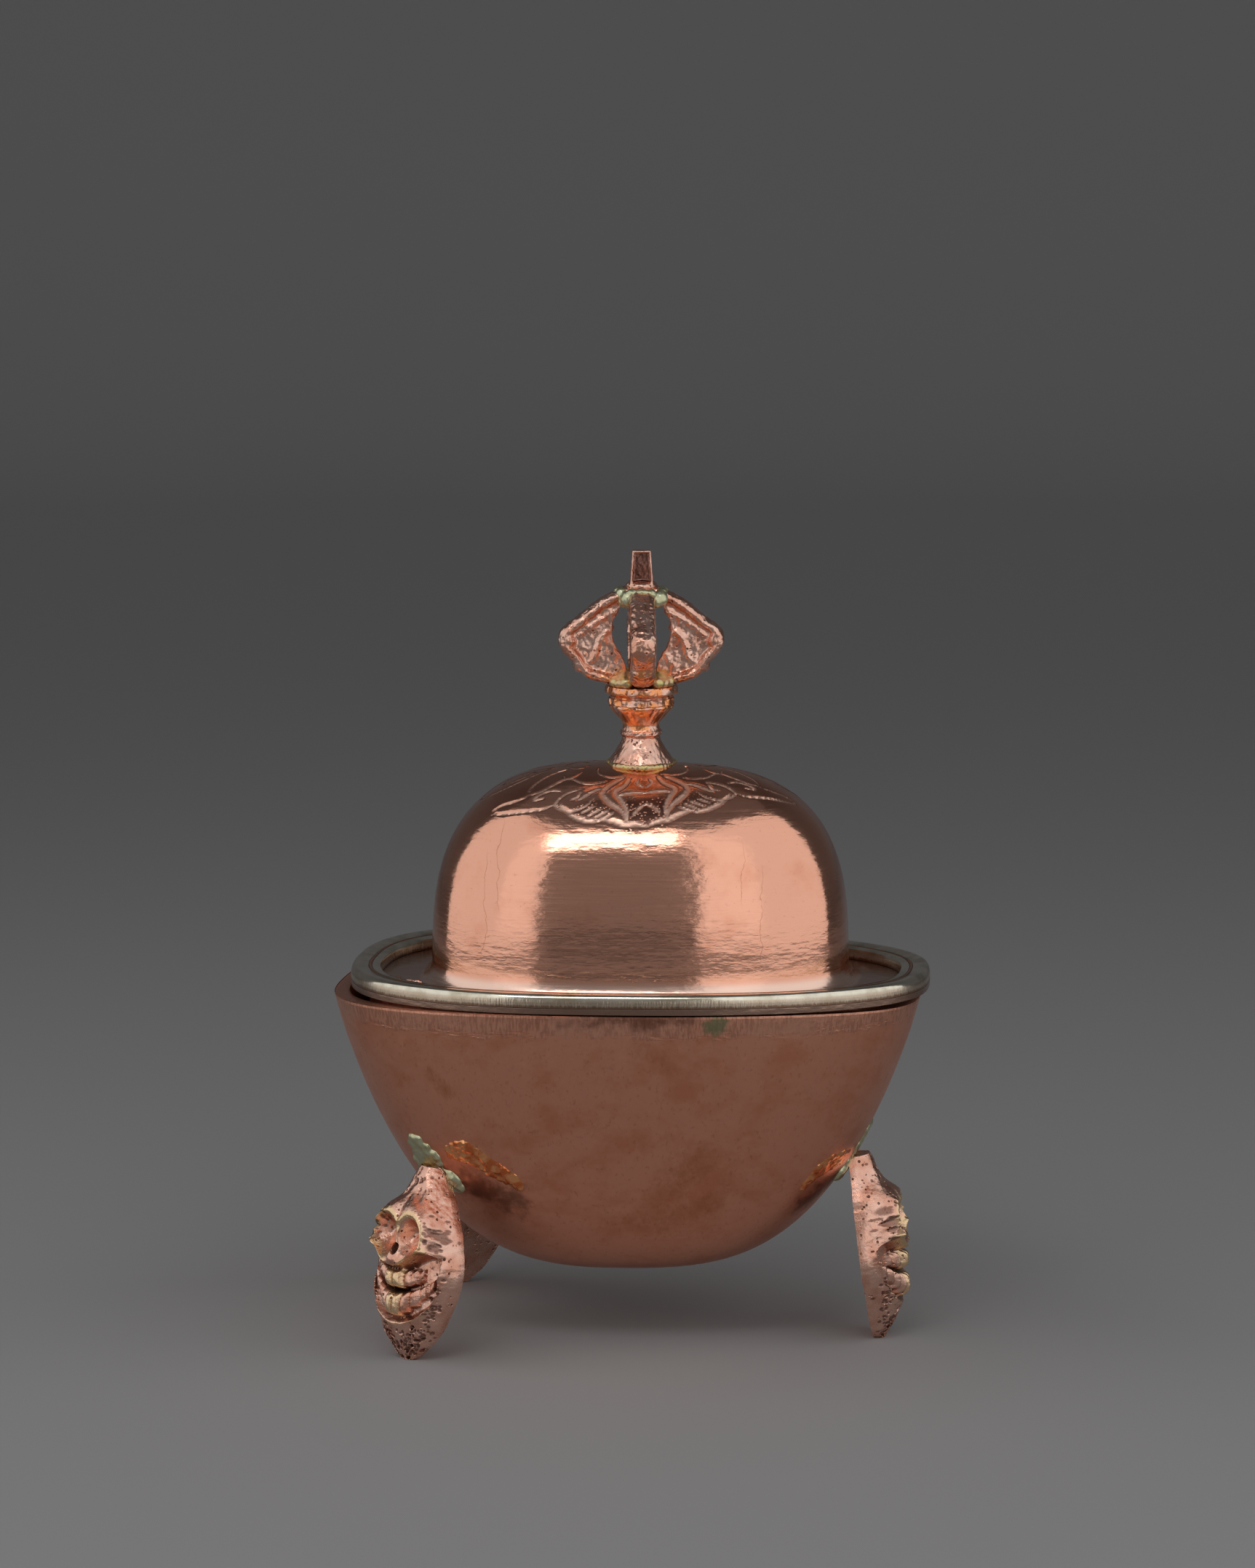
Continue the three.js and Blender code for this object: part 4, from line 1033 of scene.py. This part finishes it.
# Shares of the mask's depth, then middles and half sizes as shares of its half width and its height
TEMPLE = (0.06, (0.706, 0.659), (0.147, 0.089))
BROW_DIP = (0.121, (0, 0.728), (0.11, 0.037))
FURROW_DEPTH = 0.057
FURROW_MIDDLE = (0.235, 0.837)
FURROW_HALF = (0.081, 0.069)
FURROW_SLANT = 1.8
EYE_MIDDLE = (0.285, 0.628)
EYE_HALF = (0.262, 0.098)
SOCKET_DEPTH = 0.307
SOCKET_LIFT = 0.194
BROW_HEIGHT = 0.96
NOSE_HEIGHT = 0.145
NOSE_HOLE_DEPTH = 0.161
MOUTH_HALF = 0.904
MOUTH_UP = 0.364
MOUTH_GRIN = 0.169
UPPER_LIP = 0.089
LOWER_LIP = 0.057


def mask_face(side, up, nose):
    """Depth of the mask's face over its back, how brassy and how pitted it is, at shares of its sizes."""
    shift = nose * step(up, 0.3, 0.5) * (1 - step(up, 0.75, 0.95))
    across = np.abs(side * between(OUTLINE_SHARES, up) - shift)
    crown = MASK_DEPTH * between(CROWN_SHARES, up)
    squareness = 3 + 2 * bump((up - 0.467) / 0.224)
    depth = MASK_EDGE + (crown - MASK_EDGE) * (1 - np.abs(side) ** squareness)
    furrow = FURROW_MIDDLE[0] + FURROW_SLANT * (FURROW_MIDDLE[1] - up)
    furrows = (FURROW_DEPTH, (furrow, FURROW_MIDDLE[1]), FURROW_HALF)
    for sink, middle, half in (TEMPLE, BROW_DIP, furrows):
        depth -= MASK_DEPTH * sink * spot(across, up, middle, half)

    # The eyes: a brassy rim round a socket
    place = np.hypot((across - EYE_MIDDLE[0]) / EYE_HALF[0], (up - EYE_MIDDLE[1]) / EYE_HALF[1])
    rim = bump((place - 1.24) / np.where(place > 1.24, 0.62, 0.27)) * step(up, 0.504, 0.602)
    rim = rim * (1 - 0.7 * bump(across / 0.074) * (1 - step(up, 0.671, 0.711)))
    inside = 1 - step(place, 0.3, 1.08)
    socket = SOCKET_DEPTH - SOCKET_LIFT * (1 - step(up, 0.545, 0.667))
    depth = depth + np.maximum(BROW_HEIGHT * MASK_DEPTH - depth, 0) * rim - MASK_DEPTH * socket * inside
    brassy = bump((place - 1.27) / 0.27) * step(up, 0.54, 0.64)

    # The nose and its hole
    hole = 1 - step(np.hypot(across / 0.066, (up - 0.569) / 0.024), 0.55, 1.25)
    nose_bridge = spot(across, up, (0, 0.512), (0.265, 0.045))
    depth += MASK_DEPTH * (NOSE_HEIGHT * nose_bridge - NOSE_HOLE_DEPTH * hole)

    # The mouth: its floor, its lips and its teeth
    gap = MOUTH_UP + MOUTH_GRIN * across ** 2
    closing = np.sqrt(np.clip(1 - (across / MOUTH_HALF) ** 5, 0, 1))
    above = 0.106 + 0.039 * bump((across - 0.574) / 0.265)
    height = np.maximum(np.where(up > gap, above, 0.157) * closing, 1e-9)
    place = np.abs(up - gap) / height
    opened = np.where(across < MOUTH_HALF, 1 - step(place, 0.79, 1.07), 0)
    floor = MASK_DEPTH * (0.226 + 0.355 * np.sqrt(np.clip(1 - (across / 0.941) ** 2, 0, 1)))
    length = step(across, 0.052, 0.242) * (1 - step(across, 0.64, 0.83))
    upper_lip = UPPER_LIP * length * bump((place - 1.13) / 0.15)
    lower_lip = bump((place - 1.12) / 0.13)
    lip = np.where(up > gap, upper_lip, LOWER_LIP * lower_lip) * np.minimum(1.4 * closing, 1)
    depth = depth + MASK_DEPTH * lip
    brassy_lip = np.where(up > gap, bump((place - 1.15) / 0.25) * length, 0.5 * lower_lip)
    brassy = np.maximum(brassy, brassy_lip)
    depth = depth + (np.minimum(depth, floor) - depth) * opened
    for middle, half_width, reach, over, half_height in TOOTH_SHARES:
        x = np.clip(np.abs(across - middle) / half_width, 0, 1)
        y = np.clip(np.abs(up - gap - over) / half_height, 0, 1)
        tooth = floor + (MASK_DEPTH * reach - floor) * np.sqrt((1 - x ** 4) * (1 - y ** 3.2))
        shown = (opened > 0) & (tooth > depth)
        brassy = np.where(shown, bump(middle / 0.26) * (0.95 if over > 0 else 0.75), brassy)
        depth = np.where(shown, tooth, depth)

    pitted = 0 * depth
    for middle, spread, count, size, sink in PIT_FIELDS:
        dice = np.random.default_rng(count)
        for _ in range(count):
            centre = dice.normal(middle, spread)
            radius = dice.uniform(0.5, 1) * size
            half_width = MASK_HALF_WIDTH * between(OUTLINE_SHARES, centre[1])
            half = (radius / half_width, radius * dice.uniform(0.7, 1.5) / MASK_HEIGHT)
            dent = spot(side, up, centre, half)
            depth = depth - dice.uniform(0.4, 1) * sink * dent
            pitted = np.maximum(pitted, dent)
    return np.maximum(depth, MASK_EDGE * 0.8), brassy, pitted


def join_point(heading):
    """The point of the bowl's wall at the join height whose wall faces a heading."""
    share = bowl_reach_share((MASK_JOIN_HEIGHT - BOWL_CLEARANCE) / BOWL_HEIGHT)
    length, depth = BOWL_HALF_LENGTH * share, BOWL_HALF_DEPTH * share
    lengthwise, crosswise = length * math.cos(heading), depth * math.sin(heading)
    power = PLAN_POWER / (PLAN_POWER - 1)
    size = (abs(lengthwise) ** power + abs(crosswise) ** power) ** (1 / power)
    along = signed_power(lengthwise / size, power - 1)
    across = signed_power(crosswise / size, power - 1) * (1 - EGG_SHARE * along)
    return np.array([length * along + BOWL_MIDDLE, depth * across, 0])


def place_at_foot(places, foot):
    """Turns points about a mask's chin to its foot's place, leaning in towards the bowl."""
    lean = math.radians(foot["lean"])
    outward = outward_at(foot["facing"])
    sideways = np.array([outward[1], -outward[0], 0])
    reach = SOLDER_GAP + foot["standoff"] + MASK_JOIN_HEIGHT * math.tan(lean)
    chin = join_point(math.radians(foot["place"])) + outward * reach
    x, y, z = places.T
    y, z = turned(y, z, lean)
    return chin + x[:, None] * sideways + y[:, None] * outward + (z - foot["grind"])[:, None] * (0, 0, 1)


def bowl_place(places, offset):
    """Where points lie against the bowl's wall, grown by an offset: below 1 inside it, above 1 outside."""
    share = (places[:, 2] - BOWL_CLEARANCE + offset) / (BOWL_HEIGHT + offset)
    reach = np.maximum(bowl_reach_share(share), 1e-6)
    along = (places[:, 0] - BOWL_MIDDLE) / ((BOWL_HALF_LENGTH + offset) * reach)
    across = places[:, 1] / ((BOWL_HALF_DEPTH + offset) * reach)
    across = across / (1 - EGG_SHARE * np.clip(along, -1, 1))
    return (np.abs(along) ** PLAN_POWER + np.abs(across) ** PLAN_POWER) ** (1 / PLAN_POWER)


def clear_of_bowl(places, outward, offset):
    """Pushes the points that lie in the bowl's wall out of it, along a direction."""
    inside = bowl_place(places, offset) < 1
    low = np.zeros(inside.sum())
    high = low + 12
    for _ in range(24):
        half = (low + high) / 2
        out = bowl_place(places[inside] + half[:, None] * outward, offset) > 1
        high = np.where(out, half, high)
        low = np.where(out, low, half)
    places[inside] += high[:, None] * outward
    return places


def make_mask(side, foot):
    """A cast skull mask: a finely divided sheet drawn up into its face, with a flat back."""
    bpy.ops.mesh.primitive_grid_add(x_subdivisions=MASK_COLUMNS, y_subdivisions=MASK_ROWS, size=MM)
    piece = bpy.context.object
    edit_border(piece)
    bpy.ops.mesh.extrude_edges_move(TRANSFORM_OT_translate={"value": (0, 0, -MM)})
    bpy.ops.mesh.edge_face_add()
    bpy.ops.object.mode_set(mode="OBJECT")
    places = points_of(piece)
    across, up = 2 * places[:, 0], places[:, 1] + 0.5
    front = places[:, 2] > -0.5
    depth, brassy, pitted = mask_face(across, up, foot["nose"])
    half = MASK_HALF_WIDTH * between(OUTLINE_SHARES, up)
    bow = foot["bow"] * np.sin(math.pi * up)
    local = np.stack([bow + across * half, np.where(front, depth, 0), MASK_HEIGHT * up], 1)
    world = place_at_foot(local, foot)
    outward = outward_at(foot["facing"])
    world[front] = clear_of_bowl(world[front], outward, SOLDER_GAP + 0.15)
    world[~front] = clear_of_bowl(world[~front], outward, SOLDER_GAP)
    stand_on_floor(piece, world)
    write_values(piece, "brassy", np.where(front, brassy, 0))
    write_values(piece, "pitted", np.where(front, pitted, 0))
    edit(piece)
    finish_editing(piece, f"skull_mask_{side}", 60)
    for size, height in MASK_SKIN:
        roughen(piece, size, height)
    stand_on_floor(piece, points_of(piece))
    return piece


def stand_on_floor(piece, places):
    """Moves a piece's points, and grinds off what would reach below the floor."""
    places[:, 2] = np.maximum(places[:, 2], 0)
    move_points(piece, places)


def make_foot_braze(side, foot):
    """Brass run over the top of a mask and up the bowl's wall in a ragged patch."""
    dice = np.random.default_rng(5 + foot["facing"] % 7)
    spots = []
    for level in np.arange(23.2, 29.6, BRAZE_SPACING):
        half = 3.1 - 0.3 * (level - 22.9) + dice.uniform(-0.5, 0.5)
        lean = 0.25 * max(level - 24, 0) + dice.uniform(-0.3, 0.3)
        spots += [(lean + across, -4.0, level) for across in np.arange(-half, half, BRAZE_SPACING)]
    centres = place_at_foot(np.array(spots), foot)
    centres = clear_of_bowl(centres, outward_at(foot["facing"]), -0.25)
    parts = []
    for centre, (_, _, level) in zip(centres, spots):
        size = dice.uniform(0.6, 0.8) + (0.25 if level < 24.6 else 0)
        parts.append(lump(centre, size, 2))
    return cast(join(parts, f"foot_braze_{side}_run"), 0.13, 12, 0.7, 0.14)


# Hairline cracks down the front of the dome: place along the lid, lowest and highest level
CRACKS = [(-16.5, 50, 64), (-14.8, 56, 68), (15.2, 57, 66), (17.6, 50, 63)]


def lid_copper():
    """Polished copper: level scratches, soft beaten waves, a few cracks and tarnish round the chasing, a
    painted glint in the grooves and a painted highlight on the cove.
    """
    finish = Finish("lid_copper_polished")
    height = finish.axis("Z")
    scratches = finish.clouds(0.1, 3, (70, 70, 1))
    rings = finish.clouds(1.1, 2, (9, 9, 1), 3.0)
    waves = finish.clouds(4.5, 2, shift=7.0)
    dents = finish.clouds(0.6, 3, (2.5, 2.5, 1), shift=13.0)
    tarnish = finish.clouds(6.0, 5, shift=11.0, roughness=0.6)
    specks = finish.clouds(0.35, 2, shift=5.0).ramp(0.66, 0.74)
    groove = finish.written("groove")
    ground = finish.written("ground")
    punched = ground * finish.cells(0.42).ramp(0.1, 0.45)
    cracks = 0.0
    for across, low, high in CRACKS:
        gap = (finish.axis("X") + finish.clouds(3.0, 4, shift=across) * 2.2 - across - 1.1).math("ABSOLUTE")
        cracks = gap.ramp(0.06, 0.02) * height.ramp(low, low + 2) * height.ramp(high, high - 2) + cracks
    cracks = cracks * finish.axis("Y").ramp(0.0, -4.0) * tarnish.ramp(0.3, 0.5)
    top = height.ramp(DOME_TOP - 6, DOME_TOP - 1)
    cove = height.ramp(WELL_FLOOR + 2.2, WELL_FLOOR + 1.2)
    brim = height.ramp(WELL_FLOOR + 0.1, WELL_FLOOR - 0.1)
    colour = finish.painted(
        (0.90, 0.455, 0.315),
        (tarnish.ramp(0.5, 0.75) * 0.5, (0.74, 0.31, 0.19)),
        (top * tarnish.ramp(0.3, 0.6) * 0.6, (0.62, 0.25, 0.14)),
        # painted glint: the chased grooves are tinted pale pink-white
        (groove * 0.85, (1.0, 0.66, 0.52)),
        (punched * 0.85, (0.12, 0.05, 0.04)),
        (cracks * 0.5, (0.35, 0.13, 0.08)),
        (specks * 0.25, (0.3, 0.12, 0.07)),
        # painted highlight: the cove at the dome's foot is tinted bright pale pink
        (cove * 0.8, (1.0, 0.74, 0.62)),
        (brim * 0.8, (0.2, 0.11, 0.07)),
    )
    rough = scratches.ramp(0.35, 0.75) * 0.1 + tarnish * 0.08 + groove * 0.26
    rough = rough + ground * 0.15 + cove * 0.08 + 0.07
    layers = [(waves, 0.06), (rings, 0.028), (dents, 0.032), (scratches, 0.0014), (1 - punched, 0.04)]
    return finish.use(colour, rough, *layers)


def bowl_copper():
    """Satin copper: file marks under the rim, heat colour round the brazes, orange-brown stains and painted
    shade below two heat runs and under the rim.
    """
    finish = Finish("bowl_copper_satin")
    height = finish.axis("Z")
    brushed = finish.clouds(0.12, 4, (1, 1, 5))
    waves = finish.clouds(6.0, 2, shift=4.0)
    blotches = finish.clouds(5.0, 7, (1.3, 1.3, 1), 9.0, 0.65)
    speckle = finish.clouds(0.5, 5, (1, 1, 1.6), 14.0, 0.7)
    strokes = finish.clouds(0.26, 2, (1, 1, 9), 2.0)
    edge = finish.clouds(1.6, 3, (1, 1, 0.3), 6.0) * 3.2
    band = (height + edge).ramp(43.7, 44.6)
    filed = band * blotches.ramp(0.3, 0.55)
    scuffs = finish.clouds(1.4, 4, shift=21.0).ramp(0.62, 0.7) * height.ramp(44.4, 41.0)
    ragged = finish.clouds(1.8, 5, shift=1.0, roughness=0.6)
    heat = (finish.written("heat") + ragged * 0.9).ramp(0.68, 0.86)
    stain = (finish.written("stain") + finish.clouds(2.6, 8, (1, 1, 1.8), 17.0, 0.75) * 3.0).ramp(1.8, 2.8)
    painted_shade = (finish.written("painted_shade") + ragged * 2.0).ramp(1.2, 2.1)
    green = finish.distance_to(VERDIGRIS_SPOT) + finish.clouds(0.9, 4) * 3.0 - 1.5
    colour = finish.painted(
        (0.86, 0.39, 0.255),
        (blotches.ramp(0.42, 0.7), (0.76, 0.30, 0.175)),
        (speckle.ramp(0.56, 0.68) * 0.4, (0.50, 0.17, 0.085)),
        (stain * (speckle + 0.1), (0.58, 0.2, 0.085)),
        (band * 0.5, (0.78, 0.42, 0.30)),
        (filed * strokes.ramp(0.42, 0.58) * 0.4, (0.34, 0.13, 0.085)),
        # painted shade: dark brown below two heat runs and under the rim's front
        (painted_shade * 0.75, (0.19, 0.075, 0.045)),
        (heat * 0.95, (1.0, 0.36, 0.12)),
        (green.ramp(1.9, 0.9) * 0.7, (0.17, 0.26, 0.13)),
    )
    rough = brushed * 0.12 + blotches * 0.14 + filed * 0.04 + 0.19 - heat * 0.06 + scuffs * 0.08
    layers = [(waves, 0.035), (brushed, 0.002), (speckle, 0.006), (strokes * filed, 0.07)]
    return finish.use(colour, rough, *layers)


WORN_BRASS = (0.95, 0.70, 0.40)


def cast_copper(name, written="brassy", there=WORN_BRASS, share=0.8, reach=1.3, warm=(0, 0), dull=0.14):
    """Cast copper: pink on worn faces, dark in hollows, coloured where a value is written, and orange in a
    band of heights: partly heat colour by the brazes, partly painted reflection of the copper below.
    """
    finish = Finish(name)
    grain = finish.clouds(0.3, 4, roughness=0.65)
    pits = finish.cells(0.55).ramp(0.36, 0.16) * finish.clouds(1.4, 3, shift=3.0).ramp(0.52, 0.64)
    height = finish.axis("Z")
    # Orange band of heights: partly heat colour by the brazes, partly painted reflection of the copper dome
    # below
    heat_and_painted_reflection = height.ramp(warm[0] - 0.4, warm[0] + 0.4) * height.ramp(warm[1] + 1.2, warm[1] - 1.2)
    dark = (finish.hollows(reach) + grain * 0.25).ramp(0.42, 0.92)
    pitted = (finish.written("pitted") - grain * 0.5).ramp(0.08, 0.5)
    colour = finish.painted(
        (0.90, 0.56, 0.44),
        (finish.clouds(2.2, 5, shift=8.0).ramp(0.35, 0.7), (0.74, 0.37, 0.26)),
        (heat_and_painted_reflection * finish.clouds(1.3, 4, shift=17.0).ramp(0.42, 0.56) * 0.9, (1.0, 0.38, 0.14)),
        (finish.written(written).ramp(0.25, 0.8) * share, there),
        (dark * 0.92, (0.10, 0.04, 0.028)),
        (pits * 0.85, (0.13, 0.05, 0.035)),
        (pitted * 0.75, (0.16, 0.065, 0.045)),
    )
    return finish.use(colour, grain * 0.14 + dark * 0.2 + dull, (grain, 0.035), (1 - pits, 0.12))


def white_metal():
    """White metal: bright on top, file marks on its side, its side darker brown, partly tarnish and partly
    painted shade, and brown where it meets the copper.
    """
    finish = Finish("white_metal_filed")
    height = finish.axis("Z")
    strokes = finish.clouds(0.2, 2, (1, 1, 9))
    stains = finish.clouds(3.0, 4, shift=4.0)
    side = height.ramp(WELL_FLOOR + 1.3, WELL_FLOOR + 0.9)
    low = (height + strokes * 0.5).ramp(WELL_FLOOR + 0.75, WELL_FLOOR + 0.45)
    colour = finish.painted(
        (0.90, 0.84, 0.70),
        (stains.ramp(0.4, 0.7), (0.58, 0.53, 0.40)),
        # painted shade, partly tarnish: the ring's side is tinted darker brown
        (side * 0.7, (0.52, 0.38, 0.27)),
        (low * 0.85, (0.24, 0.12, 0.075)),
    )
    rough = strokes * side * 0.2 + stains * 0.1 + 0.09
    return finish.use(colour, rough, (strokes * side, 0.035), (finish.clouds(1.2, 2), 0.012))


def run_copper(name, size, detail, full, colour_one, colour_two, rough, height):
    """Copper that ran when it was hot, of two colours in patches."""
    finish = Finish(name)
    patches = finish.clouds(size, detail)
    colour = finish.painted(colour_one, (patches.ramp(0.4, full), colour_two))
    return finish.use(colour, patches * 0.2 + rough, (patches, height))


def braze_metal(name, colour_one, colour_two, stain):
    """Brazing brass: greenish yellow, with a dull skin and coppery edges."""
    finish = Finish(name)
    grain = finish.clouds(0.25, 3, shift=2.0)
    patches = (finish.clouds(1.0, 4).ramp(0.35, 0.65), colour_two)
    colour = finish.painted(colour_one, patches, (finish.hollows(0.8).ramp(0.35, 0.8), stain))
    return finish.use(colour, grain * 0.2 + 0.25, (grain, 0.02))


def add_to_scene(name, data, place, facing):
    thing = bpy.data.objects.new(name, data)
    bpy.context.scene.collection.objects.link(thing)
    thing.location = place
    thing.rotation_euler = facing
    return thing


def place_round(turn, reach, height):
    """A place at a turn in degrees from the front."""
    angle = math.radians(turn)
    return Vector((reach * math.sin(angle), -reach * math.cos(angle), height))


def make_camera():
    data = bpy.data.cameras.new("camera")
    data.sensor_fit = "VERTICAL"
    data.sensor_height = SENSOR_HEIGHT
    data.lens = CAMERA_LENS
    data.clip_end = 10
    towards = place_round(CAMERA_TURN, math.cos(CAMERA_PITCH), math.sin(CAMERA_PITCH))
    facing = (-towards).to_track_quat("-Z", "Y").to_euler()
    place = CAMERA_TARGET + towards * CAMERA_DISTANCE
    bpy.context.scene.camera = add_to_scene("camera", data, place, facing)


def make_light(name, place, facing, size, brightness):
    """A soft panel of light that the camera doesn't see; its brightness is as seen."""
    data = bpy.data.lights.new(name, "AREA")
    data.shape = "RECTANGLE"
    data.size, data.size_y = size
    data.energy = brightness * math.pi * size[0] * size[1]
    add_to_scene(name, data, place, facing).visible_camera = False


def make_panel(name, start, end, reach, height, brightness):
    """An upright soft panel that stands on the floor and spans from one turn to another."""
    width = 2 * reach * math.tan(math.radians(end - start) / 2)
    turn = (start + end) / 2
    place = place_round(turn, reach, height / 2 + 0.005)
    make_light(name, place, (math.pi / 2, 0, math.radians(turn)), (width, height), brightness)


def make_backdrop():
    """A round floor with a wall that grows out of it in a fillet."""
    bpy.ops.mesh.primitive_circle_add(vertices=96, radius=STUDIO_RADIUS * MM, fill_type="NGON")
    backdrop = bpy.context.object
    backdrop.name = "backdrop"
    edit_border(backdrop)
    steps = []
    for i in range(FILLET_STEPS + 1):
        angle = math.pi / 2 * i / FILLET_STEPS
        reach = STUDIO_RADIUS + STUDIO_FILLET * math.sin(angle)
        steps.append((reach, reach, STUDIO_FILLET * (1 - math.cos(angle))))
    draw_up([*steps, (reach, reach, STUDIO_FILLET + STUDIO_HEIGHT)])
    bpy.ops.object.mode_set(mode="OBJECT")
    bpy.ops.object.shade_smooth()
    finish = Finish("backdrop_paper", 0.0)
    # painted light: the far floor and the wall are painted lighter, making up for less light reaching them
    far = finish.distance_to((0, 0, 0)).ramp(*PAINTED_LIGHT_FALL_OFF)
    backdrop.data.materials.append(finish.use(finish.painted(FLOOR_TONE, (far, WALL_TONE)), 0.9))


def make_room():
    """A dim room, a tall panel at each side, a dim one in front and a small bright one above."""
    world = bpy.data.worlds.new("room")
    bpy.context.scene.world = world
    world.use_nodes = True
    room = world.node_tree.nodes["Background"].inputs
    room["Color"].default_value = (*ROOM_TONE, 1)
    room["Strength"].default_value = 1
    for name, span in PANELS.items():
        make_panel(name, *span)
    place = place_round(TOP_PANEL_TURN, TOP_PANEL_REACH, TOP_PANEL_HEIGHT)
    facing = (LIGHT_AIM - place).to_track_quat("-Z", "Z").to_euler()
    make_light("panel_top", place, facing, TOP_PANEL_SIZE, TOP_PANEL_BRIGHTNESS)


make_camera()
dome_finish = lid_copper()
bowl_finish = bowl_copper()
# Warm bands on the lotus cup and the prongs' lower parts, widest on the front prong: partly heat colour,
# partly painted reflection of the copper dome
stem_finish = cast_copper("stem_copper_pitted", warm=(DOME_TOP + 4.2, CUP_TOP + 2))
side_finish = cast_copper("prong_copper_pitted", warm=(CUP_TOP - 1, CUP_TOP + 1.6))
front_finish = cast_copper("front_prong_copper_pitted", warm=(CUP_TOP - 1, CUP_TOP + 4.6))
mask_finish = cast_copper("mask_copper_pitted", reach=1.7, dull=0.21)
head_finish = cast_copper("head_copper_pitted", "sunk", (0.16, 0.06, 0.045), 0.9)
rim_finish = white_metal()
heat_finish = run_copper("heat_copper_run", 1.3, 5, 0.62, (1.0, 0.46, 0.2), (0.75, 0.2, 0.07), 0.1, 0.08)
seam_finish = run_copper("seam_copper", 0.8, 3, 0.6, (0.62, 0.25, 0.15), (0.36, 0.28, 0.2), 0.25, 0.03)
braze_finish = braze_metal("braze_pale", (0.68, 0.60, 0.25), (0.72, 0.50, 0.30), (0.45, 0.24, 0.12))
mint_finish = braze_metal("braze_mint", (0.66, 0.68, 0.46), (0.58, 0.56, 0.34), (0.4, 0.24, 0.12))

belongs(make_bowl(), "cup", "bowl_copper", bowl_finish, "bowl")
belongs(make_dome(), "lid", "lid_copper", dome_finish, "lid_shell")
for side in HEAT_WELTS:
    belongs(make_heat_run(side), "cup", "bowl_copper", heat_finish)
outer_band, seam, inner_band = make_rims()
belongs(outer_band, "lid", "white_metal", rim_finish, "lid_rim_outer")
belongs(seam, "lid", "lid_copper", seam_finish)
belongs(inner_band, "lid", "white_metal", rim_finish, "lid_rim_inner")
belongs(make_collar(), "lid", "bowl_copper", bowl_finish, "lid_collar")
belongs(make_flakes(), "lid", "cast_copper", side_finish)
belongs(make_stem(), "lid", "cast_copper", stem_finish, "finial_stem")
belongs(make_centre_prong(), "lid", "cast_copper", head_finish, "vajra_centre_prong")
for side, quarter in QUARTERS.items():
    finish = front_finish if quarter % 2 else side_finish
    belongs(make_prong(side, quarter), "lid", "cast_copper", finish, f"vajra_prong_{side}")
foot_run, tip_run, root_runs = make_finial_brazes()
belongs(foot_run, "lid", "braze", braze_finish, "finial_base_braze")
belongs(tip_run, "lid", "braze", mint_finish, "prong_tip_braze")
for side, run in zip(QUARTERS, root_runs):
    belongs(run, "lid", "braze", braze_finish, f"root_braze_{side}")
for side, foot in FEET.items():
    belongs(make_mask(side, foot), "cup", "cast_copper", mask_finish, f"skull_foot_{side}")
    belongs(make_foot_braze(side, foot), "cup", "braze", mint_finish, f"foot_braze_{side}")
make_backdrop()
make_room()
bpy.context.scene.view_settings.view_transform = "Standard"
